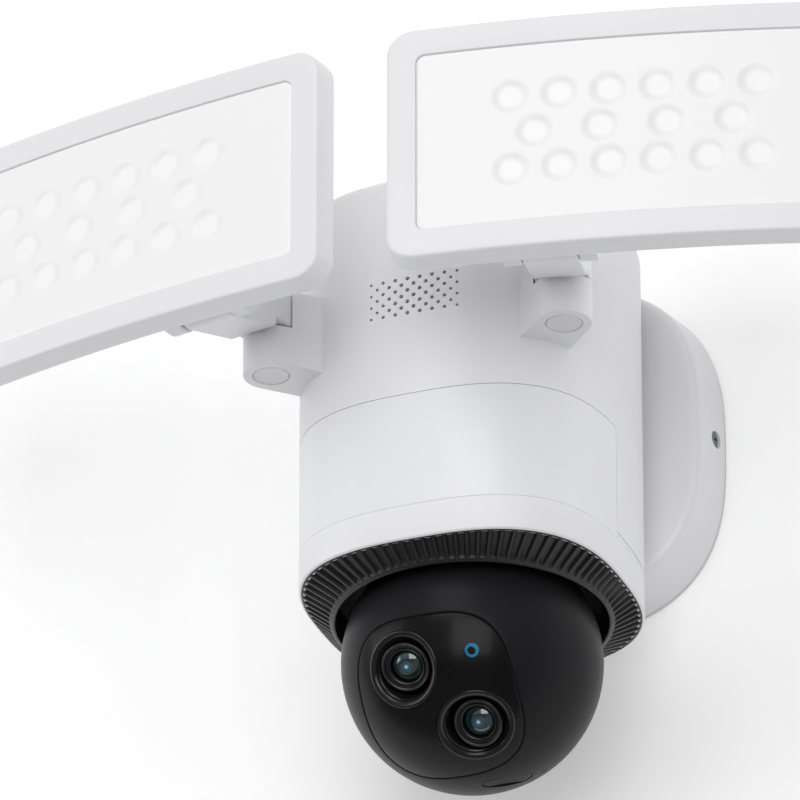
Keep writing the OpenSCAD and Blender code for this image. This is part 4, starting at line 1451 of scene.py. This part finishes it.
    def bezel(self, name: str) -> bpy.types.Object:
        """Turn the raised ring round a lens, with its stepped inside.

        Args:
            name: Which lens.

        Returns:
            The ring, centred on its own Z axis.
        """
        r = self.bezel_r
        profile = [
            (r, -5.0), (r, 0.05), (r - 0.1, 0.3), (r - 0.35, 0.52), (r - 0.75, 0.62),
            (r - 1.2, 0.58),
            (r - 1.7, 0.4), (r - 2.15, 0.08), (r - 2.45, -0.35), (r - 2.55, -0.75),
            (r - 2.75, -0.95),
            (r - 3.0, -1.1), (r - 3.3, -1.9), (r - 3.8, -3.0), (r - 4.3, -4.2), (r - 4.3, -5.0),
        ]
        form = Form()
        form.turn(profile, 160)
        form.mesh.faces.ensure_lookup_table()
        caps = [f for f in form.mesh.faces if len(f.verts) > 4]
        bmesh.ops.delete(form.mesh, geom=caps, context="FACES")
        return form.as_object(f"{name}_bezel_ring", 60.0)

    def barrel(self, name: str) -> bpy.types.Object:
        """Turn the lens barrel, with the fine steps that stop stray light.

        Args:
            name: Which lens.

        Returns:
            The barrel, centred on its own Z axis.
        """
        profile: list[tuple[float, float]] = [
            (8.5, -12), (8.5, -2.5), (8.4, -2.1), (8.15, -1.85), (7.8, -1.8), (7.5, -2.0),
            (7.25, -2.4),
        ]
        for i in range(2):
            r, h = 7.15 - 0.4 * i, -2.75 - 0.3 * i
            profile += [(r, h), (r - 0.1, h - 0.26)]
        profile += [
            (6.5, -3.35), (6.35, -3.0), (6.1, -2.85), (5.85, -2.95), (5.65, -3.3), (5.55, -3.9),
            (5.55, -6.0), (0, -6.0),
        ]
        return Form().turn(profile, 128).as_object(f"{name}_barrel_turned", 50.0)

    def glass(self, name: str) -> bpy.types.Object:
        """Build the front lens as a shallow dome on its own -Y axis.

        Args:
            name: Which lens.

        Returns:
            The glass.
        """
        dome, rim = 8.0, 5.5
        profile = [(rim, -2.4), (rim, -(dome - math.sqrt(dome**2 - rim**2)))]
        for i in range(1, 13):
            a = math.asin(rim / dome) * (1 - i / 12)
            profile.append((dome * math.sin(a), dome * math.cos(a) - dome))
        out = Matrix.Rotation(math.pi / 2, 4, "X")
        return Form().turn(profile, 96, out).as_object(f"{name}_front_glass", 60.0)

    def build(self) -> None:
        """Make the ball's pieces."""
        face = self.face_frame()
        fit_out(self.shell_piece(), BLACK_ABS, Body.TILT_HEAD, ["ball_shell"], face, True)
        fit_out(self.face_piece(), BLACK_ACRYLIC, Body.TILT_HEAD, ["face_plate"], face, True)
        for name, (x, z) in self.lens_places.items():
            canted = face @ self.bezel_frame(name, False)
            straight = face @ self.bezel_frame(name, True)
            stands_for = [f"{name}_lens_bezel"]
            fit_out(self.bezel(name), BLACK_LACQUER, Body.TILT_HEAD, stands_for, canted, True)
            stands_for = [f"{name}_lens_barrel"]
            fit_out(self.barrel(name), BLACK_ANODISED, Body.TILT_HEAD, stands_for, straight, True)
            lens = face @ Matrix.Translation((x, -self.lens_front() + 2.9, z))
            fit_out(self.glass(name), LENS_GLASS, Body.TILT_HEAD, [f"{name}_lens_glass"], lens)
        self.light(face)
        card = CardSlot(self.under_frame(self.card_tilt), self.radius, 0.0).cover()
        fit_out(card, BLACK_ABS, Body.TILT_HEAD, ["card_cover"], face, True)

    def light(self, face: Matrix) -> None:
        """Make the status light's ring and its dark middle.

        Args:
            face: The face's frame.
        """
        x, z = self.status_place
        front = self.dome_depth(math.hypot(x, z))
        where = face @ Matrix.Translation((x, -front, z)) @ Matrix.Rotation(math.pi / 2, 4, "X")
        ring = Form().turn(
            [(2.4, -3), (2.4, -0.1), (2.3, 0.02), (1.5, 0.02), (1.4, -0.12), (1.4, -3)], 72
        )
        ring_piece = ring.as_object("status_ring", 50.0)
        fit_out(ring_piece, TEAL_LIGHT_PIPE, Body.TILT_HEAD, ["status_light"], where)
        dot = Form().turn([(1.42, -2.5), (1.42, -0.3), (1.2, -0.2), (0, -0.15)], 48)
        fit_out(dot.as_object("status_middle", 50.0), BLACK_LACQUER, Body.TILT_HEAD, (), where)


@dataclass
class CardSlot:
    """The long oval opening under the ball, and its rubbery cover."""

    frame: Matrix
    radius: float
    grow: float
    length: float = 18.0
    width: float = 6.4

    def outline(self, inset: float) -> list[tuple[float, float]]:
        """A long oval, drawn in by inset.

        Args:
            inset: How far it is drawn in.

        Returns:
            Points of the outline.
        """
        r = self.width / 2 + self.grow - inset
        half = (self.length - self.width) / 2
        points = []
        for sign in (1, -1):
            for i in range(25):
                a = math.pi * i / 24 + (0 if sign > 0 else math.pi)
                points.append((r * math.cos(a), r * math.sin(a) + sign * half))
        return points

    def tool(self) -> Form:
        """The form that cuts the opening."""
        out = self.frame @ Matrix.Rotation(math.pi / 2, 4, "X")
        return Form().prism(self.outline(0.0), self.radius - 1.2, self.radius + 2, out)

    def cover(self) -> bpy.types.Object:
        """Build the cover, curved as the ball.

        Returns:
            The cover.
        """
        form = Form()

        def row(inset: float, radius: float) -> list[Vector]:
            """The outline laid on a sphere."""
            return [
                self.frame @ Vector((x, -math.sqrt(radius**2 - x * x - z * z), z))
                for x, z in self.outline(inset)
            ]

        r = self.radius
        sections = [row(0.05, r - 1.15), row(0.05, r - 0.45)]
        sections += [row(0.15, r - 0.25), row(0.4, r - 0.17)]
        sections += [row(0.4 + 0.55 * i, r - 0.15) for i in range(1, 5)]
        form.loft(sections)
        return form.as_object("card_cover_black", 50.0)


# ---- lights ----


@dataclass
class LightArm:
    """One floodlight with its arm, knuckle and bracket.

    Attributes:
        side: 1 for the light at +X, -1 for the one at -X.
    """

    side: int
    column: Column
    reach: float = 74.8
    arm_w: float = 19.4
    bottom: float = -8.5
    seat_top: float = 6.5
    wall_top: float = 20.5
    plug_r: float = 6.2
    knuckle_h: float = 13.0
    neck_w: float = 19.0
    neck_root: float = 10.4
    barrel_r: float = 6.5
    tilt_z: float = 2.5
    standoff: float = 7.5
    ear_t: float = 6.5
    ear_r: float = 6.9
    panel_x: float = 95.3
    panel_out: float = 169.3
    panel_z: float = 35.8
    panel_w: float = 167.8
    panel_h: float = 87.3
    panel_t: float = 11.0
    bend_r: float = 685.0
    corner: float = 9.0
    rim: float = 10.2
    yaw: float = 13.0
    sink: float = 0.6
    sheet_t: float = 1.6

    @property
    def name(self) -> str:
        """Which side, in words."""
        return "right" if self.side > 0 else "left"

    @property
    def swivel_xy(self) -> tuple[float, float]:
        """The swivel axis's place."""
        away = self.reach / math.sqrt(2)
        return self.side * away, -self.column.axis_out - away

    @property
    def panel_frame(self) -> Matrix:
        """Frame of the panel: X along it, Z up, Y towards its back."""
        return Matrix.Translation((self.side * self.panel_x, -self.panel_out, self.panel_z)) @ Matrix.Rotation(
            self.side * math.radians(self.yaw), 4, "Z"
        )

    @property
    def mount_u(self) -> float:
        """Place of the bracket along the panel."""
        x, y = self.swivel_xy
        return (self.panel_frame.inverted() @ Vector((x, y, 0))).x

    @property
    def swivel_frame(self) -> Matrix:
        """Frame of the swivel, with +X towards the column's axis."""
        x, y = self.swivel_xy
        angle = math.radians(135 if self.side > 0 else 45)
        return Matrix.Translation((x, y, 0)) @ Matrix.Rotation(angle, 4, "Z")

    @property
    def tilt_frame(self) -> Matrix:
        """Frame of the tilt axis, which is its X."""
        back = self.panel_t + self.mount_u**2 / (2 * self.bend_r)
        place = (self.mount_u, back + self.standoff, self.tilt_z - self.panel_z)
        return self.panel_frame @ Matrix.Translation(place)

    def arm(self) -> None:
        """Make the arm that grows out of the column, and the plug below it."""
        r = self.arm_w / 2
        inner = 15.4
        turns = [math.pi / 2 + math.pi * i / 40 for i in range(41)]
        outline = [(r * math.cos(a), r * math.sin(a)) for a in turns] + [(inner, -r), (inner, r)]
        base = Form().prism(outline, self.bottom, self.seat_top, self.swivel_frame)
        seat = base.as_object(f"{self.name}_arm_seat")
        well = self.plug_r + 0.1
        profile = [(well, self.bottom - 2), (well, self.bottom + 1.2)]
        carve(seat, [Form().turn(profile, 96, self.swivel_place())])
        soften(seat, 0.5, 3)
        fit_out(seat, WHITE_POLYCARBONATE, Body.BASE, [f"{self.name}_arm"])
        hollow = self.neck_w / 2 + 0.7
        curve = [
            (math.sqrt(hollow**2 - y * y), y)
            for y in (r * (2 * i / 24 - 1) for i in range(25))
        ]
        outline = curve + [(inner, r), (inner, -r)]
        form = Form().prism(outline, self.seat_top - 0.5, self.wall_top, self.swivel_frame)
        wall = soften(form.as_object(f"{self.name}_arm_wall"), 0.7, 3)
        fit_out(wall, WHITE_POLYCARBONATE, Body.BASE)
        z = self.bottom
        p = self.plug_r
        plug = Form().turn(
            [(0, z + 1.6), (p, z + 1.6), (p, z + 0.55), (p - 0.2, z + 0.3), (p - 0.55, z + 0.18),
             (p - 1.0, z + 0.22), (p - 1.5, z + 0.42), (p - 2.1, z + 0.5), (0, z + 0.5)],
            96, self.swivel_place(),
        )
        disc = plug.as_object(f"{self.name}_plug_disc", 50.0)
        fit_out(disc, PLUG_POLYCARBONATE, Body.BASE, [f"{self.name}_arm_plug"])

    def swivel_place(self) -> Matrix:
        """Upright frame on the swivel axis."""
        x, y = self.swivel_xy
        return Matrix.Translation((x, y, 0))

    def knuckle(self) -> None:
        """Make the neck between the swivel and the tilt axis."""
        half = self.neck_w / 2
        foot = self.seat_top + 0.4
        turned = self.swivel_place() @ Matrix.Rotation(self.side * math.radians(self.yaw), 4, "Z")
        points = [
            turned @ Vector((x, y, z))
            for x in (-half, half)
            for y in (-self.neck_root, 0.0)
            for z in (foot, foot + self.knuckle_h)
        ]
        r = self.barrel_r
        for i in range(72):
            a = math.tau * i / 72
            for x in (-half, half):
                points.append(self.tilt_frame @ Vector((x, r * math.cos(a), r * math.sin(a))))
        form = Form()
        form.ring(points)
        bmesh.ops.convex_hull(form.mesh, input=form.mesh.verts)
        loose = [v for v in form.mesh.verts if not v.link_faces]
        bmesh.ops.delete(form.mesh, geom=loose, context="VERTS")
        mesh = form.mesh
        bmesh.ops.dissolve_limit(mesh, angle_limit=0.01, verts=mesh.verts, edges=mesh.edges)
        body = Body.RIGHT_SWIVEL if self.side > 0 else Body.LEFT_SWIVEL
        neck = form.as_object(f"{self.name}_neck", 30.0)
        # Clear of the arm's seat at every angle of the swivel
        corner = (half + 1, half + 1, foot)
        carve(neck, [Form().block((-half - 1, -self.neck_root, self.bottom), corner, turned)])
        fit_out(soften(neck, 0.9, 4), WHITE_POLYCARBONATE, body, [f"{self.name}_knuckle"])
        low, high = self.bottom + 2.6, foot + self.knuckle_h
        profile = [(0, low), (3.4, low), (3.4, foot), (half, foot), (half, high), (0, high)]
        root = Form().turn(profile, 96, turned).as_object(f"{self.name}_neck_root", 30.0)
        fit_out(soften(root, 0.9, 4), WHITE_POLYCARBONATE, body)

    def bracket(self) -> None:
        """Make the two ears and the foot that hold the panel."""
        body = self.light_body
        half = self.neck_w / 2 + 0.3
        form = Form()
        r = self.ear_r
        turns = [math.pi / 2 - math.pi * i / 32 for i in range(33)]
        ear = [(r * math.cos(a), r * math.sin(a)) for a in turns]
        ear += [(-self.standoff + 0.05, -self.ear_r), (-self.standoff + 0.05, self.ear_r + 3)]
        ear += [(-self.standoff + 3.0, self.ear_r + 3), (-self.standoff + 3.0, self.ear_r)]
        upright = Matrix(((0, 0, 1, 0), (1, 0, 0, 0), (0, 1, 0, 0), (0, 0, 0, 1)))
        for side in (-1, 1):
            low, high = sorted((side * half, side * (half + self.ear_t)))
            form.prism(ear, low, high, self.tilt_frame @ upright)
        ears = soften(form.as_object(f"{self.name}_bracket_ears"), 0.7, 3)
        fit_out(ears, WHITE_POLYCARBONATE, body, [f"{self.name}_bracket"])
        foot = Form().block(
            (-half - self.ear_t, -self.standoff - 0.5, self.ear_r + 1.5),
            (half + self.ear_t, -self.standoff + 3.0, self.ear_r + 15.5),
            self.tilt_frame,
        )
        piece = soften(foot.as_object(f"{self.name}_bracket_foot"), 1.0, 4)
        fit_out(piece, WHITE_POLYCARBONATE, body)

    @property
    def light_body(self) -> Body:
        """The body that the panel rides."""
        return Body.RIGHT_LIGHT if self.side > 0 else Body.LEFT_LIGHT

    def rows(self, inset: float) -> list[tuple[float, float]]:
        """Half widths of the panel at heights from top to bottom.

        Args:
            inset: How far the outline is drawn in.

        Returns:
            Height and half width of each row.
        """
        w, h = self.panel_w / 2 - inset, self.panel_h / 2 - inset
        c = max(self.corner - inset * 0.75, 3.0)
        turns = [math.pi / 2 * i / 8 for i in range(9)]
        arc = [(h - c + c * math.cos(a), w - c + c * math.sin(a)) for a in turns]
        middle = [(s * (h - c), w) for s in (0.6, 0.2, -0.2, -0.6)]
        return arc + middle + [(-z, a) for z, a in reversed(arc)]

    def bent(self, u: float, depth: float, z: float) -> Point:
        """A point of the bent panel, this far behind its front."""
        r = self.bend_r - depth
        return u, self.bend_r - math.sqrt(r * r - u * u), z

    def edge_loop(self, inset: float, depth: float, columns: int = 32) -> list[Point]:
        """The panel's outline, drawn in, at one depth.

        Args:
            inset: How far it is drawn in.
            depth: How far behind the front.
            columns: Spans along the top and the bottom.

        Returns:
            The closed row of points.
        """
        rows = self.rows(inset)
        top, bottom = rows[0], rows[-1]
        z, half = top
        loop = [self.bent(half * (2 * i / columns - 1), depth, z) for i in range(columns + 1)]
        loop += [self.bent(a, depth, z) for z, a in rows[1:-1]]
        z, half = bottom
        loop += [self.bent(half * (1 - 2 * i / columns), depth, z) for i in range(columns + 1)]
        loop += [self.bent(-a, depth, z) for z, a in reversed(rows[1:-1])]
        return loop

    def fill(
        self,
        form: Form,
        loop: Sequence[bmesh.types.BMVert],
        inset: float,
        depth: float,
        columns: int = 32,
    ) -> None:
        """Close an outline with a bent sheet of four-sided faces.

        Args:
            form: The form that the outline belongs to.
            loop: The outline's vertices, from edge_loop.
            inset: Its inset.
            depth: Its depth.
            columns: Spans along the top and the bottom.
        """
        rows = self.rows(inset)
        count = len(rows)
        top = list(loop[: columns + 1])
        right = list(loop[columns + 1 : columns + count - 1])
        bottom = list(loop[columns + count - 1 : 2 * columns + count])[::-1]
        left = list(loop[2 * columns + count :])[::-1]
        previous = top
        for j in range(1, count - 1):
            z, a = rows[j]
            inside = form.ring(
                self.bent(a * (2 * i / columns - 1), depth, z) for i in range(1, columns)
            )
            current = [left[j - 1], *inside, right[j - 1]]
            form.bridge(previous, current, closed=False)
            previous = current
        form.bridge(previous, bottom, closed=False)

    def tray(self) -> None:
        """Make the panel's housing: bent, rounded, with a frame round its opening."""
        t = self.panel_t
        form = Form()
        rim = self.rim
        levels = [(rim, t - 4.0), (rim, self.sink + 0.6), (rim - 0.1, 0.35), (rim - 0.3, 0.1)]
        levels.append((rim - 0.7, 0.0))
        levels += [(2.6, 0.0)]
        edge = 1.2
        levels += [(edge - rise, inset) for inset, rise in quarter(edge, 6)]
        levels += [(0.0, t - 2.2)]
        levels += [(inset, t - 1.6 + rise) for inset, rise in quarter(1.6, 5)]
        rings = [form.ring(self.edge_loop(i, d)) for i, d in levels]
        for first, second in zip(rings, rings[1:]):
            form.bridge(first, second)
        self.fill(form, rings[0], *levels[0])
        self.fill(form, rings[-1], *levels[-1])
        tray = form.as_object(f"{self.name}_panel_tray", 32.0)
        stands_for = [f"{self.name}_panel_shell"]
        fit_out(tray, WHITE_POLYCARBONATE, self.light_body, stands_for, self.panel_frame, True)

    def sheet(self) -> None:
        """Make the opal sheet with its softly rounded edge."""
        form = Form()
        inset = self.rim + 0.005
        sink = self.sink
        levels = [(inset, sink + self.sheet_t), (inset, sink + 0.4), (inset + 0.12, sink + 0.16)]
        levels += [(inset + 0.4, sink + 0.03), (inset + 0.8, sink)]
        rings = [form.ring(self.edge_loop(i, d)) for i, d in levels]
        for first, second in zip(rings, rings[1:]):
            form.bridge(first, second)
        self.fill(form, rings[0], *levels[0])
        self.fill(form, rings[-1], *levels[-1])
        sheet = form.as_object(f"{self.name}_opal_sheet", 40.0)
        fit_out(sheet, OPAL_ACRYLIC, self.light_body, [f"{self.name}_diffuser"], self.panel_frame)

    def back_caps(self) -> None:
        """Make the four small caps over the screws in the panel's back."""
        form = Form()
        u, z = self.panel_w / 2 - 12, self.panel_h / 2 - 11
        for su in (-1, 1):
            for sz in (-1, 1):
                x, y, _ = self.bent(su * u, self.panel_t, 0)
                out = Matrix.Translation((x, y, sz * z)) @ Matrix.Rotation(-math.pi / 2, 4, "X")
                profile = [(3.4, -0.6), (3.4, 0.15), (3.2, 0.35), (2.6, 0.42), (2.3, 0.3)]
                profile.append((0, 0.26))
                form.turn(profile, 48, out)
        caps = form.as_object(f"{self.name}_back_caps", 50.0)
        fit_out(caps, PLUG_POLYCARBONATE, self.light_body, (), self.panel_frame, True)

    def build(self) -> None:
        """Make every piece of this light."""
        self.arm()
        self.knuckle()
        self.bracket()
        self.tray()
        self.sheet()
        self.back_caps()


# ---- pieces that keep their CAD shape ----


@dataclass
class Insides:
    """CAD nodes whose shape is right, by the finish they get."""

    finishes: dict[str, Finish] = field(
        default_factory=lambda: {
            "wall_gasket": PALE_EPDM,
            "mounting_bracket": ZINC_STEEL,
            "terminal_block": IVORY_NYLON,
            "mount_collar": CAST_ALUMINIUM,
            "housing_screws": SCREW_STEEL,
            "sensor_board": SOLDER_MASK,
            "motion_sensors": ZINC_STEEL,
            "speaker": SPEAKER_BLACK,
            "grille_mesh": DUST_MESH,
            "main_board": SOLDER_MASK,
            "power_board": SOLDER_MASK,
            "antennas": STAMPED_BRASS,
            "bearing_carrier": FILLED_NYLON,
            "pan_bearing": ZINC_STEEL,
            "pan_motor": ZINC_STEEL,
            "pan_pinion": ACETAL,
            "turntable": FILLED_NYLON,
            "pan_gear": ACETAL,
            "head_post": CAST_ALUMINIUM,
            "tilt_gear": ACETAL,
            "tilt_pinion": ACETAL,
            "chassis": FILLED_NYLON,
            "tilt_shaft": ZINC_STEEL,
            "tilt_motor": ZINC_STEEL,
            "image_board": SOLDER_MASK,
            "reset_button": BLACK_ABS,
            "left_tilt_pin": ZINC_STEEL,
            "right_tilt_pin": ZINC_STEEL,
            "left_led_board": WHITE_BOARD,
            "right_led_board": WHITE_BOARD,
            "left_led_chips": PHOSPHOR,
            "right_led_chips": PHOSPHOR,
        }
    )

    def build(self) -> None:
        """Give each node its finish and smooth shading."""
        for name, finish in self.finishes.items():
            data = frame["nodes"][name].data
            data.materials.clear()
            data.materials.append(finish.material())
            data.shade_smooth()
            data.set_sharp_from_angle(angle=math.radians(30))
            LOG.info("%s: %s", name, finish.label)


# ---- studio ----


@dataclass
class Softbox:
    """A square area light that faces the object.

    Attributes:
        place: Where it stands, in metres.
        size: Side of the square, in metres.
        power: Watts.
    """

    place: Point
    size: float
    power: float

    def build(self, name: str, aim: Vector) -> None:
        """Stand the light up.

        Args:
            name: Name of the light.
            aim: The point that it faces.
        """
        data = bpy.data.lights.new(name, "AREA")
        data.size = self.size
        data.energy = self.power
        light = bpy.data.objects.new(name, data)
        light.location = self.place
        light.rotation_euler = (aim - Vector(self.place)).to_track_quat("-Z", "Y").to_euler()
        bpy.context.scene.collection.objects.link(light)


@dataclass
class Studio:
    """Pale wall and floor, soft lights and the camera."""

    camera_place: Point = (1.0533, -2.9109, -1.6050)
    camera_aim: Point = (-0.0109, -0.1087, -0.0192)
    lens: float = 450.0
    floor_z: float = -2.4
    floor_colour: str = "#9C9C9C"
    wall_glow: float = 0.22
    boxes: dict[str, Softbox] = field(
        default_factory=lambda: {
            "key_softbox": Softbox((0.1, -2.7, 1.6), 1.7, 20.0),
            "left_softbox": Softbox((-2.7, -1.7, 0.1), 1.9, 22.0),
            "front_softbox": Softbox((1.3, -3.7, -0.2), 2.3, 46.0),
        }
    )

    def backdrop(self) -> None:
        """Make the floor, and a wall that is only there from its front."""
        # The wall stands a little off the part, so that their faces don't meet
        low, out = self.floor_z, 0.0005
        for name, corners in {
            "pale_floor": [(-9, -9, low), (9, -9, low), (9, 9, low), (-9, 9, low)],
            "pale_wall": [(-6, out, low), (6, out, low), (6, out, 4), (-6, out, 4)],
        }.items():
            data = bpy.data.meshes.new(name)
            data.from_pydata(corners, [], [(0, 1, 2, 3)])
            sheet = bpy.data.objects.new(name, data)
            bpy.context.scene.collection.objects.link(sheet)
            data.materials.append(self.paint(name == "pale_wall"))

    def paint(self, one_sided: bool) -> bpy.types.Material:
        """Matt white paint, see-through from behind if one-sided.

        Args:
            one_sided: Whether the back lets light and sight through.

        Returns:
            The material.
        """
        material = bpy.data.materials.new("matt_white_paint")
        material.use_nodes = True
        tree = material.node_tree
        tree.nodes.clear()
        white = add_node(
            tree,
            "ShaderNodeBsdfPrincipled",
            {
                "Base Color": linear("#F4F4F4" if one_sided else self.floor_colour),
                "Roughness": 0.9,
                "Emission Color": linear("#FFFFFF"),
                "Emission Strength": self.wall_glow if one_sided else 0.0,
            },
        )
        surface = white.outputs["BSDF"]
        if one_sided:
            side = add_node(tree, "ShaderNodeNewGeometry").outputs["Backfacing"]
            clear = add_node(tree, "ShaderNodeBsdfTransparent").outputs["BSDF"]
            mixed = add_node(
                tree, "ShaderNodeMixShader", links={0: side, 1: surface, 2: clear}
            )
            surface = mixed.outputs[0]
        add_node(tree, "ShaderNodeOutputMaterial", links={"Surface": surface})
        return material

    def sky(self) -> None:
        """Surround the scene with soft white light."""
        world = bpy.data.worlds.new("soft_white_surround")
        world.use_nodes = True
        tree = world.node_tree
        tree.nodes.clear()
        light = add_node(
            tree, "ShaderNodeBackground", {"Color": linear("#FFFFFF"), "Strength": 0.5}
        )
        add_node(tree, "ShaderNodeOutputWorld", links={"Surface": light.outputs[0]})
        bpy.context.scene.world = world

    def camera(self) -> None:
        """Set up the long lens that looks up from the right."""
        data = bpy.data.cameras.new("long_lens")
        data.lens = self.lens
        data.sensor_width = 36.0
        data.clip_end = 60.0
        eye = bpy.data.objects.new("long_lens", data)
        place, aim = Vector(self.camera_place), Vector(self.camera_aim)
        eye.location = place
        eye.rotation_euler = (aim - place).to_track_quat("-Z", "Y").to_euler()
        bpy.context.scene.collection.objects.link(eye)
        bpy.context.scene.camera = eye

    def build(self) -> None:
        """Make the studio."""
        self.camera()
        self.backdrop()
        self.sky()
        for name, box in self.boxes.items():
            box.build(name, Vector((0, -0.1, -0.02)))
        bpy.context.scene.view_settings.view_transform = "Standard"


def main() -> None:
    """Build the whole scene."""
    logging.basicConfig(level=logging.INFO, format="%(message)s")
    Studio().build()
    WallPlate().build()
    column = Column()
    column.build()
    RibbedRing(column).build()
    BallCamera().build()
    for side in (-1, 1):
        LightArm(side, column).build()
    Insides().build()


if __name__ == "__main__":
    main()
